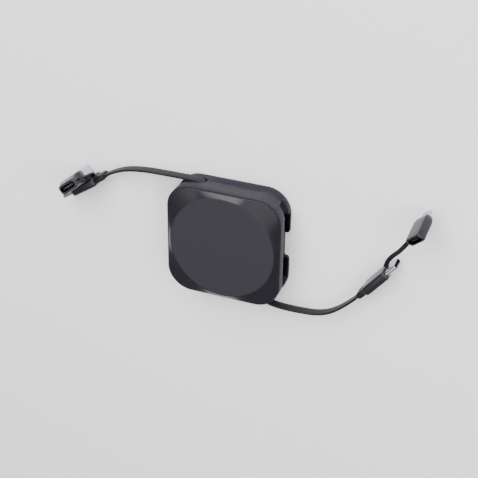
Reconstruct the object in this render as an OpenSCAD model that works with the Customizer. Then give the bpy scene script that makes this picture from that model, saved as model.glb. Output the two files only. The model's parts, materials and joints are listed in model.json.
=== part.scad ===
// Retractable charging cable: a square case with a sprung reel, two flat cords with USB-C plugs,
// and a tethered adapter beside each plug. It lies on its back, front disc up.
// X runs to the right and Y up in the face, Z out of it. The origin is the middle of the rear face.

/* [Case] */
// Width and height of the case seen from the front
case_w = 60; // [58:0.5:64]
// Corner radius of the case seen from the front
case_r = 12.75; // [11:0.25:14]
// Depth from the rear face to the front disc
case_depth = 18.5; // [18:0.25:20]
// Height of the parting line between the two shells
part_z = 7; // [6.5:0.25:7.5]
// Thickness of the outer walls
wall_t = 2; // [1.8:0.1:2.2]
// Diameter of the flat disc on the front
disc_d = 55; // [48:0.5:56]
// Chamfer along the rear edge
rear_chamfer = 1.2; // [0.6:0.1:1.6]

/* [Pockets] */
// Length of the pocket in each side that holds a plug
pocket_len = 37.6; // [35:0.2:38]
// Depth of the pocket
pocket_d = 5.6; // [5.2:0.1:5.8]
// Height where the pocket starts, which is the thickness of the wall behind the plug
pocket_z0 = 2.7; // [2.4:0.1:3]
// Height where the pocket ends
pocket_z1 = 11.2; // [11:0.1:11.8]
// Length of the finger notch that opens the pocket to the rear
notch_len = 14.4; // [10:0.2:18]
// Depth of the finger notch
notch_d = 3; // [2.5:0.1:3.6]

/* [Cord] */
// Width of the flat cord
cord_w = 5; // [4.6:0.1:5.2]
// Thickness of the flat cord
cord_t = 1.2; // [1:0.1:1.3]
// Width of the slot that the cord leaves by
slot_w = 5.8; // [5.6:0.1:6]
// Distance from the middle of the side to the end of the slot
slot_end = 12; // [11:0.25:12.5]

/* [Reel] */
// Room between the reel's flanges and the wall beside each pocket
reel_room = 1; // [0.8:0.1:1.6]
// Diameter of the hub that the cord is wound on
hub_d = 18.6; // [18:0.2:20]
// How far the wound cord lies inside the edge of the flanges, as it is drawn out here
coil_inset = 1.9; // [1.2:0.1:4]
// Diameter of the post that the reel turns on
post_d = 4; // [3.6:0.1:4.4]
// Turns of the power spring
spring_turns = 6; // [4:1:7]
// Diameter of the steel ball that catches the reel
ball_d = 2.4; // [2.2:0.05:2.4]
// Teeth on the catch cam
cam_teeth = 5; // [3:1:8]

/* [Plugs] */
// Length of the moulded grip of each plug
grip_len = 16; // [14:0.5:18]
// Width of the moulded grip
grip_w = 10.4; // [10:0.1:10.4]
// Thickness of the moulded grip
grip_t = 4.8; // [4.4:0.1:5]
// Length of the strain relief behind the grip
relief_len = 5.7; // [5:0.1:7]

/* [Adapters] */
// Length of the body of the blade adapter
blade_body_len = 14; // [13:0.25:14.25]
// Length of the body of the USB-A adapter
usb_a_body_len = 10.5; // [10:0.1:10.6]

/* [Hidden] */

// Smoothness of round features, and of the children of hulls
round_fn = 96;
hull_fn = 32;
$fn = round_fn;
// How far a cutting shape runs past the face that it cuts
past = 1;
// Length of the slices that a hull joins
slice_t = 0.2;

// Colours of the materials
graphite = [0.27, 0.27, 0.3];
dark_plastic = [0.2, 0.2, 0.22];
black_plastic = [0.05, 0.05, 0.06];
cord_grey = [0.26, 0.26, 0.28];
steel = [0.72, 0.72, 0.75];
spring_steel = [0.45, 0.47, 0.5];
gold = [0.83, 0.68, 0.35];

// Case: heights of the faces, from the rear
half = case_w / 2;
floor_t = 2;
side_top = case_depth - 2.2;
plate_seat = side_top - 0.7;
well_top = plate_seat - 1.3;
seam_gap = 0.2;
rim_h = 0.4;
rim_half = half - 0.5;
rim_land = 0.3;
recess_wall = 1.5;
plate_fit = 0.1;
plate_core_h = 1.6;
plate_edge_t = 3;
hull_land = 0.02;

// Case: the well for the reel and the walls behind the pockets and grooves
groove_d = 2.2;
inner_wall = 1.2;
well_half = half - pocket_d - inner_wall;
band_t = groove_d + inner_wall;
band_half = half - band_t;
core_inset = 2;

// Case: screws
boss_inset = 10.5;
boss_at = half - boss_inset;
boss_r = 2.6;
screw_r = 0.85;
pilot_r = 0.9;
screw_hole_r = 1.2;
head_r = 1.9;
head_h = 1;
screw_tip_z = 3.2;

// Cord slots: the cord leaves at a share of the well's depth, and bends over a round guide
slot_share = 0.4634;
slot_z = floor_t + slot_share * (well_top - floor_t);
slot_z0 = slot_z - slot_w / 2;
slot_r = slot_w / 2;
guide_r = 1.6;
guide_gap = 0.1;
guide_run = 5;
guide_x = slot_end + guide_run;
guide_wrap = guide_r + guide_gap + cord_t / 2;
guide_pt = [-guide_x, half - guide_wrap];
lead_gap = 0.35;
floor_gap = 0.05;

// Reel: its flanges, and the heights of its faces
reel_r = well_half - reel_room;
flange_t = 1;
cord_gap = 0.2;
flange_z = slot_z + cord_w / 2 + cord_gap;
drum_z = slot_z - cord_w / 2 - cord_gap - flange_t;
collar_z = floor_t + 0.6;
hub_r = hub_d / 2;
chamber_r = hub_r - 1.1;
web_t = 1.4;
cover_t = 0.7;
cover_r = chamber_r + 0.5;
running_gap = 0.05;
post_r = post_d / 2;
post_slot = 0.5;
post_top = well_top - 0.3;
bearing_ring_h = 0.5;

// Reel: power spring
strip_t = 0.25;
spring_r0 = post_r + 0.5;
spring_r1 = chamber_r - 0.5;
spring_steps = 24;
spring_z0 = collar_z + cover_t + 0.2;
spring_z1 = flange_z - web_t - 0.2;
hook_slot = 0.6;
hook_len = 0.6;

// Reel: catch cam, track and ball
cam_h = 1.35;
cam_tip_r = 9.6;
cam_root_r = 8.3;
cam_bore_r = 7.2;
track_r = 14.6;
track_wall = 1;
ball_r = ball_d / 2;
ball_at = (cam_tip_r + track_r) / 2;
ball_travel = 1.1;
ball_z = flange_z + flange_t + running_gap + ball_r;
ball_slot_top = ball_z + ball_r + running_gap;
ball_slot_w = ball_d + 0.2;
ball_slot_len = ball_slot_w + 2 * ball_travel + 0.1;
catch_boss_z = flange_z + flange_t + cam_h + 0.2;
flange_screw_at = 5.2;
flange_screw_r = 0.7;
flange_head_r = 1.3;

// Cord: where it leaves the coil, and where it meets the guide
coil_r = reel_r - coil_inset;
wrap_r = coil_r + running_gap + cord_t / 2;
leave_angle = atan2(guide_pt.y, guide_pt.x) - acos((wrap_r - guide_wrap) / norm(guide_pt));
leave_dir = [cos(leave_angle), sin(leave_angle)];
leave_pt = wrap_r * leave_dir;
meet_pt = guide_pt + guide_wrap * leave_dir;

// Free cords: points after the guide, from the point on the case's side beside it. The height comes
// last, as a share of the drop from the slot to the plug.
left_route = [
    [0, 0, 1], [-5, 0, 0.96], [-10, -0.1, 0.88], [-15, -0.3, 0.76], [-21, -0.6, 0.63], [-27, -1, 0.47],
    [-33, -1.7, 0.35], [-38, -2.7, 0.22], [-42, -3.9, 0.14], [-46, -5.6, 0.06], [-49, -7.2, 0.02],
    [-52.3, -9.2, 0]
];
right_route = [
    [3, -1.4, 1], [5.5, -2.4, 0.96], [8, -3.1, 0.92], [11.5, -3.6, 0.84], [16, -3.9, 0.76],
    [23, -3.9, 0.63], [29, -3.5, 0.55], [33, -2.6, 0.47], [36.7, -1.1, 0.39], [40, 1, 0.31],
    [43.3, 3.7, 0.22], [46.3, 6.5, 0.1], [48.9, 9.2, 0.02], [51, 11.9, 0]
];
left_origin = [-guide_x, half, 0];
right_origin = [guide_x, -half, 0];
plug_z = grip_w / 2 + floor_gap;
left_points = concat(
    [[leave_pt.x, leave_pt.y, slot_z], [meet_pt.x, meet_pt.y, slot_z]],
    [for (p = left_route) left_origin + [p.x, p.y, plug_z + p.z * (slot_z - plug_z)]]
);
right_points = concat(
    [[-leave_pt.x, -leave_pt.y, slot_z], [-meet_pt.x, -meet_pt.y, slot_z]],
    [for (p = right_route) right_origin + [p.x, p.y, plug_z + p.z * (slot_z - plug_z)]]
);
left_end = left_points[len(left_points) - 1];
right_end = right_points[len(right_points) - 1];

// Headings of the two plugs in plan
left_heading = 214;
right_heading = 52;

// Plugs: the metal USB-C shell and what is in it
usb_c_w = 8.25;
usb_c_t = 2.4;
usb_c_len = 6.65;
sheet_t = 0.3;
shell_sunk = 1.5;
insert_len = 2.2;
edge_r = 1.4;
relief_t = 3.6;
relief_w = 7;
neck_len = 1.3;

// Adapters: where the middle of the socket's face lies from each cord's own start, and its turns
left_adapter_at = [-64.6, -10, 23.3];
left_adapter_turn = [7, 78, 226];
right_adapter_at = [78.5, 57.4, 20.4];
right_adapter_turn = [26.5, 64.4, 76.6];
socket_w = 8.34;
socket_t = 2.56;
socket_depth = 6.2;
liner_t = 0.2;
tongue_w = 6.7;
tongue_t = 0.7;
tongue_len = 4.5;
blade_body_w = 10.8;
blade_body_t = 4.7;
blade_w = 6.7;
blade_t = 1.5;
blade_len = 3.5;
blade_sunk = 2;
nose_len = 4.5;
nose_edge_r = 0.8;
usb_a_w = 12;
usb_a_t = 4.5;
usb_a_len = 11.75;
usb_a_sunk = 1.5;
back_t = 0.4;
usb_a_tongue_t = 1.84;
usb_a_mouth_w = 10.2;
usb_a_mouth_t = 5.3;

// Tethers: flat straps from each plug's grip to its adapter, from each cord's own start
tether_w = 2.3;
tether_t = 1;
left_tether_route = [
    [-59.2, -11.2, 6], [-58.7, -9.3, 7.2], [-58.5, -7.8, 10], [-59.3, -7.1, 14.5], [-60.8, -7, 18.8]
];
right_tether_route = [
    [62.9, 31, 5.2], [63.8, 34.6, 5.9], [66.2, 39.4, 8.6], [70.2, 45.4, 12.4], [73.2, 50.6, 15],
    [75.6, 54.8, 16.2]
];

// Unit vector along v
function unit(v) = v / norm(v);

// Direction of a route at point i, from its neighbours
function heading_at(route, i) =
    unit(route[min(i + 1, len(route) - 1)] - route[max(i - 1, 0)]);

// Outline of a flat cord with bevelled edges, across its thickness and its width
function flat_section(w, t) = let (c = 0.3 * t) [
    [t / 2, w / 2 - c], [t / 2 - c, w / 2], [c - t / 2, w / 2], [-t / 2, w / 2 - c],
    [-t / 2, c - w / 2], [c - t / 2, -w / 2], [t / 2 - c, -w / 2], [t / 2, c - w / 2]
];

// Points of one ring of a flat cord, with its width held near the direction wide
function ring_at(route, i, section, wide) =
    let (along = heading_at(route, i))
    let (across = unit(cross(along, wide)))
    let (up = cross(across, along))
    [for (p = section) route[i] + p.x * across + p.y * up];

// Spiral strip: points at radius rising by one pitch a turn, on one side of the strip
function spiral_side(r0, r1, turns, steps, offset) =
    [for (i = [0 : turns * steps]) let (r = r0 + (r1 - r0) * i / (turns * steps) + offset)
        r * [cos(360 * i / steps), sin(360 * i / steps)]];

// Flat cord swept along a route
module flat_sweep(route, w, t, wide) {
    section = flat_section(w, t);
    n = len(section);
    last = (len(route) - 1) * n;
    polyhedron(
        points = [for (i = [0 : len(route) - 1]) each ring_at(route, i, section, wide)],
        faces = concat(
            [[for (j = [0 : n - 1]) j]],
            [for (i = [0 : len(route) - 2]) for (j = [0 : n - 1])
                [i * n + j, (i + 1) * n + j, (i + 1) * n + (j + 1) % n, i * n + (j + 1) % n]],
            [[for (j = [n - 1 : -1 : 0]) last + j]]
        )
    );
}

// Square outline with round corners, about the origin
module round_square(w, r) {
    square([w - 2 * r, w], center = true);
    square([w, w - 2 * r], center = true);
    for (x = [-1, 1], y = [-1, 1])
        translate([x, y] * (w / 2 - r)) circle(r);
}

// Oblong outline with half-round ends, its length along Y
module obround(len_y, len_x) {
    square([len_x, len_y - len_x], center = true);
    for (s = [-1, 1])
        translate([0, s * (len_y - len_x) / 2]) circle(len_x / 2);
}

// Rectangular outline with round corners, about the origin
module round_rect(x, y, r) {
    square([x - 2 * r, y], center = true);
    square([x, y - 2 * r], center = true);
    for (i = [-1, 1], j = [-1, 1])
        translate([i * (x / 2 - r), j * (y / 2 - r)]) circle(r);
}

// Puts a shape on the right side of the case and, turned half round, on the left
module both_sides() {
    children();
    rotate([0, 0, 180]) children();
}

// Outline of a recess cut into the right side, with round inner corners
module mouth_plan(length, depth, r) {
    translate([half - depth + r, -length / 2]) square([depth - r + past, length]);
    translate([half - depth, r - length / 2]) square([depth, length - 2 * r]);
    for (s = [-1, 1])
        translate([half - depth + r, s * (length / 2 - r)]) circle(r);
}

// Notch outline, with a flared mouth where it meets the side
module notch_plan() {
    flare = 1.6;
    mouth_plan(notch_len, notch_d, 1);
    for (s = [-1, 1])
        difference() {
            translate([half - flare / 2 + past / 2, s * (notch_len / 2 + flare / 2 - 0.05)])
                square([flare + past, flare + 0.1], center = true);
            translate([half - flare, s * (notch_len / 2 + flare)]) circle(flare);
        }
}

// Ring along the side of the case that the grooves are cut from
module groove_ring() {
    difference() {
        round_square(case_w + 2 * past, case_r + past);
        round_square(case_w - 2 * groove_d, case_r - groove_d);
    }
}

// Groove that leads the cord round the lower right corner into the pocket
module cord_groove_plan() {
    intersection() {
        groove_ring();
        translate([guide_x, -half - past]) square([half, half + 2 * past - pocket_len / 2]);
    }
}

// Groove that takes the nose of the adapter round the upper right corner
module tail_groove_plan() {
    corner = half - case_r;
    tail_angle = 43;
    intersection() {
        groove_ring();
        translate([corner, corner])
            polygon([[0, -2], [half, -2], [half, 0], half * [cos(tail_angle), sin(tail_angle)], [0, 0]]);
    }
}

// Cut where the cord comes through the lower wall, sloped like the cord
module slot_plan() {
    wall_y = half - wall_t;
    clear_r = wrap_r + cord_t / 2 + lead_gap;
    lead_y = (clear_r + slot_end * cos(leave_angle)) / sin(leave_angle);
    lead_x = (clear_r - wall_y * sin(leave_angle)) / -cos(leave_angle);
    rotate([0, 0, 180])
        polygon([
            [-guide_x, wall_y - past], [-guide_x, half + past], [-slot_end, half + past],
            [-slot_end, lead_y], [-lead_x, wall_y], [-lead_x, wall_y - past]
        ]);
}

// All that is cut from the sides of both shells
module side_cuts() {
    both_sides() {
        translate([0, 0, pocket_z0])
            linear_extrude(pocket_z1 - pocket_z0) mouth_plan(pocket_len, pocket_d, 1);
        translate([0, 0, slot_z0]) linear_extrude(slot_w) {
            cord_groove_plan();
            tail_groove_plan();
        }
        intersection() {
            translate([0, 0, slot_z0]) linear_extrude(slot_w) slot_plan();
            union() {
                translate([slot_end + slot_r, 0, slot_z]) rotate([90, 0, 0])
                    cylinder(h = half + past, r = slot_r);
                translate([slot_end + slot_r, -half - past, slot_z0]) cube([case_w, half, slot_w]);
                translate([0, past - half, slot_z - cord_w / 2 - cord_gap])
                    cube([half, half, cord_w + 2 * cord_gap]);
            }
        }
    }
}

// Round guides that the cords bend over, from height z0 to z1
module cord_guides(z0, z1) {
    both_sides()
        translate([-guide_pt.x, -guide_pt.y, z0]) cylinder(h = z1 - z0, r = guide_r);
}

// Outline of the space inside the shells
module well_plan() {
    intersection() {
        square([2 * well_half, case_w], center = true);
        union() {
            round_square(2 * band_half, case_r - band_t);
            square([2 * (guide_x - guide_r), case_w - 2 * wall_t], center = true);
        }
    }
}

// Copies a shape to the four screw bosses
module at_bosses() {
    for (x = [-1, 1], y = [-1, 1])
        translate([x * boss_at, y * boss_at, 0]) children();
}

// Block of the rear shell with a chamfered rear edge
module rear_block() {
    c = rear_chamfer;
    straight = case_w - 2 * case_r;
    translate([0, 0, c]) linear_extrude(part_z - c) round_square(case_w, case_r);
    for (turn = [0, 90])
        rotate([90, 0, turn])
            translate([0, 0, -straight / 2]) linear_extrude(straight)
                polygon([[c - half, 0], [half - c, 0], [half, c], [-half, c]]);
    for (x = [-1, 1], y = [-1, 1])
        translate([x, y, 0] * (half - case_r)) cylinder(h = c, r1 = case_r - c, r2 = case_r);
}

module rear_shell() {
    color(graphite) {
        difference() {
            rear_block();
            translate([0, 0, floor_t]) linear_extrude(part_z) well_plan();
            side_cuts();
            both_sides()
                translate([0, 0, -past]) linear_extrude(pocket_z0 + 2 * past) notch_plan();
        }
        cord_guides(slot_z0 - 0.1, part_z);
        difference() {
            at_bosses() translate([0, 0, floor_t - 0.1]) cylinder(h = part_z - floor_t + 0.1, r = boss_r);
            at_bosses() translate([0, 0, screw_tip_z - 0.4]) cylinder(h = part_z, r = pilot_r);
        }
        reel_post();
        translate([0, 0, floor_t - 0.1])
            difference() {
                cylinder(h = bearing_ring_h + 0.1, r = hub_r - 0.1);
                translate([0, 0, -past]) cylinder(h = bearing_ring_h + 2 * past, r = hub_r - 0.9);
            }
    }
}

// Post that the reel turns on, slit for the inner end of the spring
module reel_post() {
    difference() {
        translate([0, 0, floor_t - 0.1]) cylinder(h = post_top - floor_t + 0.1, r = post_r);
        translate([0, 0, spring_z0 - 0.2 + part_z])
            cube([2 * post_r + past, post_slot, 2 * part_z], center = true);
    }
}

module front_shell() {
    color(graphite) {
        difference() {
            translate([0, 0, part_z]) linear_extrude(side_top - part_z) round_square(case_w, case_r);
            translate([0, 0, part_z - past]) linear_extrude(well_top - part_z + past) well_plan();
            side_cuts();
            translate([0, 0, plate_seat])
                linear_extrude(part_z) round_square(case_w - 2 * recess_wall, case_r - recess_wall);
            at_bosses() translate([0, 0, plate_seat - head_h - 0.1]) cylinder(h = part_z, r = head_r + 0.2);
            at_bosses() translate([0, 0, part_z]) cylinder(h = case_depth, r = screw_hole_r);
            both_sides() core_out();
            ball_slot();
        }
        cord_guides(part_z, slot_z0 + slot_w + 0.1);
        difference() {
            at_bosses() translate([0, 0, part_z]) cylinder(h = well_top - part_z + 0.1, r = boss_r);
            at_bosses() translate([0, 0, part_z - past]) cylinder(h = case_depth, r = screw_hole_r);
        }
        post_socket();
        ball_boss();
    }
}

// Hollow above a pocket that keeps the wall even, closed by the front plate
module core_out() {
    length = pocket_len - 2 * core_inset;
    top_wall = pocket_z1 + inner_wall;
    translate([well_half + inner_wall, -length / 2, top_wall])
        cube([pocket_d - wall_t, length, plate_seat - top_wall + past]);
}

// Boss under the front wall that takes the top of the post
module post_socket() {
    socket_z = flange_z + flange_t + 0.3;
    translate([0, 0, socket_z])
        difference() {
            cylinder(h = well_top - socket_z + 0.1, r = post_r + 1.2);
            translate([0, 0, -past])
                cylinder(h = post_top + running_gap - socket_z + past, r = post_r + running_gap);
        }
}

// Boss for the short radial slot that the ball moves in
module ball_boss() {
    boss_len = ball_slot_len + 2 * inner_wall;
    boss_w = ball_slot_w + 2 * inner_wall;
    difference() {
        translate([ball_at - boss_len / 2, -boss_w / 2, catch_boss_z])
            cube([boss_len, boss_w, well_top - catch_boss_z + 0.1]);
        ball_slot();
    }
}

// Slot that the ball moves in, just deeper than the ball stands
module ball_slot() {
    translate([ball_at, 0, catch_boss_z - past]) linear_extrude(ball_slot_top - catch_boss_z + past)
        rotate([0, 0, 90]) obround(ball_slot_len, ball_slot_w);
}

// Front cover: a flat disc that falls away to the rounded square rim
module front_plate() {
    rim_z = side_top + seam_gap;
    land_half = rim_half - rim_land;
    lip_inset = recess_wall + plate_fit;
    color(graphite)
        difference() {
            union() {
                translate([0, 0, plate_seat])
                    linear_extrude(seam_gap + side_top - plate_seat + plate_fit)
                        round_square(case_w - 2 * lip_inset, case_r - lip_inset);
                translate([0, 0, rim_z])
                    linear_extrude(rim_h) round_square(2 * rim_half, case_r - half + rim_half);
                hull() {
                    translate([0, 0, rim_z + rim_h - hull_land])
                        linear_extrude(hull_land)
                            round_square(2 * land_half, case_r - half + land_half, $fn = 64);
                    translate([0, 0, case_depth - hull_land])
                        cylinder(h = hull_land, d = disc_d, $fn = 128);
                }
            }
            translate([0, 0, plate_seat - past])
                cylinder(h = plate_core_h + past, d = disc_d - 2 * plate_edge_t);
        }
}

// One screw from under its head down
module screw(r, length, cap_r, cap_h) {
    translate([0, 0, -length]) cylinder(h = length + 0.05, r = r);
    difference() {
        cylinder(h = cap_h, r = cap_r);
        for (turn = [0, 90])
            rotate([0, 0, turn]) translate([0, 0, cap_h]) cube([1.3 * cap_r, 0.35, 0.8], center = true);
    }
}

module case_screws() {
    seat = plate_seat - head_h - 0.1;
    color(steel) at_bosses() translate([0, 0, seat]) screw(screw_r, seat - screw_tip_z, head_r, head_h);
}

// Hub with the rear flange, and the chamber for the spring
module reel_drum() {
    color(dark_plastic)
        difference() {
            union() {
                translate([0, 0, collar_z]) cylinder(h = flange_z - collar_z, r = hub_r);
                translate([0, 0, drum_z]) cylinder(h = flange_t, r = reel_r);
            }
            translate([0, 0, collar_z - past])
                cylinder(h = flange_z - web_t - collar_z + past, r = chamber_r);
            translate([0, 0, collar_z - past]) cylinder(h = cover_t + running_gap + past, r = cover_r);
            cylinder(h = case_depth, r = post_r + running_gap);
            translate([chamber_r - 0.2, -hook_slot / 2, spring_z0 - 0.1])
                cube([hook_len + 0.3, hook_slot, spring_z1 - spring_z0 + 0.2]);
            at_flange_screws() cylinder(h = case_depth, r = flange_screw_r + running_gap);
        }
}

// Copies a shape to the three screws that hold the flange
module at_flange_screws() {
    for (i = [0 : 2])
        rotate([0, 0, 120 * i + 60]) translate([flange_screw_at, 0, 0]) children();
}

// Front flange with the catch cam and the round track for the ball
module reel_flange() {
    top = flange_z + flange_t;
    color(dark_plastic)
        difference() {
            union() {
                translate([0, 0, flange_z]) cylinder(h = flange_t, r = reel_r);
                translate([0, 0, top - 0.1]) linear_extrude(cam_h + 0.1) cam_plan();
                translate([0, 0, top - 0.1]) linear_extrude(cam_h + 0.1)
                    difference() {
                        circle(track_r + track_wall);
                        circle(track_r);
                    }
            }
            translate([0, 0, flange_z - past]) cylinder(h = case_depth, r = post_r + 0.3);
            at_flange_screws() cylinder(h = case_depth, r = flange_screw_r + running_gap);
        }
}

// Cam outline: a ring with hooked teeth that stop the ball when the cord is let go
module cam_plan() {
    step = 360 / cam_teeth;
    difference() {
        union() {
            circle(cam_root_r);
            for (i = [0 : cam_teeth - 1])
                rotate([0, 0, i * step])
                    polygon([
                        [0, 0], cam_root_r * [cos(0.55 * step), sin(0.55 * step)] * 1.02,
                        (cam_tip_r - 0.4) * [cos(0.25 * step), sin(0.25 * step)],
                        cam_tip_r * [cos(4), sin(4)], [cam_tip_r, 0], [cam_root_r - 0.4, 0.6]
                    ]);
        }
        circle(cam_bore_r);
    }
}

module flange_screws() {
    color(steel)
        at_flange_screws() translate([0, 0, flange_z + flange_t])
            screw(flange_screw_r, flange_t + web_t - 0.2, flange_head_r, 0.6);
}

// Disc that keeps the spring in its chamber
module spring_cover() {
    color(dark_plastic)
        translate([0, 0, collar_z])
            difference() {
                cylinder(h = cover_t, r = cover_r - running_gap);
                translate([0, 0, -past]) cylinder(h = cover_t + 2 * past, r = post_r + 0.3);
            }
}

// Flat spiral spring, hooked in the slit of the post and in the wall of the hub
module power_spring() {
    outer = spiral_side(spring_r0, spring_r1, spring_turns, spring_steps, strip_t / 2);
    inner = spiral_side(spring_r0, spring_r1, spring_turns, spring_steps, -strip_t / 2);
    count = len(inner);
    color(spring_steel)
        translate([0, 0, spring_z0]) linear_extrude(spring_z1 - spring_z0) {
            polygon(concat(outer, [for (i = [count - 1 : -1 : 0]) inner[i]]));
            translate([-post_r, -strip_t / 2]) square([post_r + spring_r0, strip_t]);
            translate([spring_r1, -strip_t / 2]) square([chamber_r + hook_len - spring_r1, strip_t]);
        }
}

// Wound cord on the reel
module cord_coil() {
    color(cord_grey)
        translate([0, 0, slot_z - cord_w / 2])
            rotate_extrude()
                translate([hub_r + running_gap, 0]) square([coil_r - hub_r - running_gap, cord_w]);
}

module catch_ball() {
    color(steel) translate([ball_at, 0, ball_z]) sphere(r = ball_r);
}

// Puts a shape at the end of the left or right cord, pointing to the plug's tip
module at_left_plug() { translate(left_end) rotate([0, 0, left_heading]) children(); }
module at_right_plug() { translate(right_end) rotate([0, 0, right_heading]) children(); }

// Puts a shape at the middle of an adapter's socket face, pointing to its nose
module at_left_adapter() {
    translate(left_origin + left_adapter_at) rotate(left_adapter_turn) children();
}

module at_right_adapter() {
    translate(right_origin + right_adapter_at) rotate(right_adapter_turn) children();
}

// Extrudes an outline along X, its first axis across and its second up
module along_x(x0, length) {
    translate([x0, 0, 0]) rotate([90, 0, 90]) linear_extrude(length) children();
}

// Thin slice of a grip that starts at x, for hulls
module slice(x, t, w, r) {
    along_x(x, slice_t) round_rect(t, w, r, $fn = hull_fn);
}

// Strain relief, tapering back to the cord
module relief_body() {
    color(dark_plastic) {
        hull() {
            slice(0, relief_t - 1, relief_w - 0.8, edge_r - 0.5);
            slice(0.6, relief_t - 0.4, relief_w - 0.2, edge_r - 0.3);
            slice(relief_len - neck_len + 0.1, relief_t, relief_w, edge_r - 0.2);
        }
        along_x(relief_len - neck_len, neck_len) round_rect(relief_t - 0.6, relief_w - 0.6, edge_r - 0.3);
    }
}

// Moulded grip with soft edges
module grip_body() {
    x0 = relief_len;
    x1 = relief_len + grip_len;
    color(dark_plastic)
        difference() {
            hull() {
                slice(x0, grip_t - 1, grip_w - 1.2, edge_r - 0.3);
                slice(x0 + 0.8, grip_t, grip_w, edge_r);
                slice(x1 - 1, grip_t, grip_w, edge_r);
                slice(x1 - slice_t, grip_t - 1, grip_w - 1.6, edge_r - 0.3);
            }
            along_x(x1 - shell_sunk, shell_sunk + past) obround(usb_c_w, usb_c_t);
        }
}

// Metal USB-C shell with an open end
module usb_c_shell() {
    x0 = relief_len + grip_len - shell_sunk;
    color(steel)
        along_x(x0, usb_c_len + shell_sunk)
            difference() {
                obround(usb_c_w, usb_c_t);
                obround(usb_c_w - 2 * sheet_t, usb_c_t - 2 * sheet_t);
            }
}

// Black insulator at the bottom of the USB-C shell, with a lip along each long side
module usb_c_insert() {
    x0 = relief_len + grip_len - shell_sunk;
    inner_t = usb_c_t - 2 * sheet_t;
    lip_t = 0.35;
    color(black_plastic) {
        along_x(x0, insert_len) obround(usb_c_w - 2 * sheet_t, inner_t);
        along_x(x0, usb_c_len + shell_sunk - 0.8)
            intersection() {
                obround(usb_c_w - 2 * sheet_t, inner_t);
                for (s = [-1, 1])
                    translate([s * (inner_t - lip_t) / 2, 0]) square([lip_t, tongue_w], center = true);
            }
    }
}

// Rows of spring contacts on the inner faces of the insulator
module usb_c_contacts() {
    x0 = relief_len + grip_len + 1;
    pitch = 0.5;
    contact = [4, 0.1, 0.25];
    face_y = usb_c_t / 2 - sheet_t - 0.35;
    color(gold)
        for (s = [-1, 1], i = [-5.5 : 1 : 5.5])
            translate([x0, s * (face_y - contact.y / 2) - contact.y / 2, i * pitch - contact.z / 2])
                cube(contact);
}

// Metal liner of an adapter's USB-C socket
module socket_shell() {
    color(steel)
        along_x(0.1, socket_depth - 0.1)
            difference() {
                obround(socket_w + 2 * liner_t, socket_t + 2 * liner_t);
                obround(socket_w, socket_t);
            }
}

// Contact board in the socket, on the black base that closes it
module socket_tongue() {
    color(black_plastic) {
        along_x(socket_depth - 1, 1) obround(socket_w, socket_t);
        along_x(socket_depth - 1 - tongue_len, tongue_len + 0.05) square([tongue_t, tongue_w], center = true);
    }
}

// Cut that takes the socket's liner
module socket_cut() {
    along_x(-past, socket_depth + past) obround(socket_w + 2 * liner_t, socket_t + 2 * liner_t);
}

// Body of the adapter whose nose carries the blade
module right_adapter() {
    color(dark_plastic)
        at_right_adapter()
            difference() {
                hull() {
                    slice(0, blade_body_t - 1, blade_body_w - 1, edge_r - 0.1);
                    slice(0.8, blade_body_t, blade_body_w, edge_r);
                    slice(blade_body_len - nose_len, blade_body_t, blade_body_w, edge_r);
                    slice(blade_body_len - 1.2, blade_body_t - 0.8, blade_body_w - 1.6, edge_r - 0.2);
                    slice(blade_body_len - slice_t, blade_t + 1.1, blade_w + 0.6, nose_edge_r);
                }
                socket_cut();
                along_x(blade_body_len - blade_sunk, blade_sunk + past) round_rect(blade_t, blade_w, 0.7);
            }
}

module blade() {
    tip_r = 0.7;
    color(steel)
        at_right_adapter()
            translate([blade_body_len - blade_sunk, 0, 0])
                intersection() {
                    along_x(0, blade_len + blade_sunk) round_rect(blade_t, blade_w, tip_r);
                    rotate([90, 0, 0]) translate([(blade_len + blade_sunk) / 2, 0, -blade_t])
                        linear_extrude(2 * blade_t) round_rect(blade_len + blade_sunk, blade_w, 1.2);
                }
}

// Flat contact pads on both faces of the blade
module blade_contacts() {
    pad = [blade_len - 1.6, 0.08, 0.45];
    pitch = 0.62;
    color(gold)
        at_right_adapter()
            for (s = [-1, 1], i = [-3.5 : 1 : 3.5])
                translate([blade_body_len + 0.8, s * (blade_t + pad.y) / 2 - pad.y / 2, i * pitch - pad.z / 2])
                    cube(pad);
}

// Body of the adapter that carries the USB-A plug, wider where the metal leaves it
module left_adapter() {
    shoulder = 4.5;
    color(dark_plastic)
        at_left_adapter()
            difference() {
                hull() {
                    slice(0, usb_a_mouth_t - 0.6, usb_a_mouth_w - 0.8, edge_r);
                    slice(0.6, usb_a_mouth_t, usb_a_mouth_w, edge_r + 0.3);
                    slice(shoulder, usb_a_mouth_t + 0.5, usb_a_mouth_w + 0.6, edge_r + 0.3);
                    slice(shoulder + 2.2, usb_a_t + 2, usb_a_w + 1.4, edge_r);
                    slice(usb_a_body_len - 0.6, usb_a_t + 2, usb_a_w + 1.4, edge_r);
                    slice(usb_a_body_len - slice_t, usb_a_t + 1.4, usb_a_w + 0.8, edge_r);
                }
                socket_cut();
                along_x(usb_a_body_len - usb_a_sunk, usb_a_sunk + past) round_rect(usb_a_t, usb_a_w, 0.6);
            }
}

// Metal USB-A shell with its latch windows
module usb_a_shell() {
    window = [2.3, 2 * usb_a_t, 2];
    window_at = 5.2 + window.x / 2;
    window_apart = 2.6;
    color(steel)
        at_left_adapter()
            translate([usb_a_body_len - usb_a_sunk, 0, 0])
                difference() {
                    along_x(0, usb_a_len + usb_a_sunk) round_rect(usb_a_t, usb_a_w, 0.6);
                    along_x(back_t, usb_a_len + usb_a_sunk)
                        round_rect(usb_a_t - 2 * sheet_t, usb_a_w - 2 * sheet_t, sheet_t);
                    for (s = [-1, 1])
                        translate([usb_a_sunk + window_at, 0, s * window_apart]) cube(window, center = true);
                }
}

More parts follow.
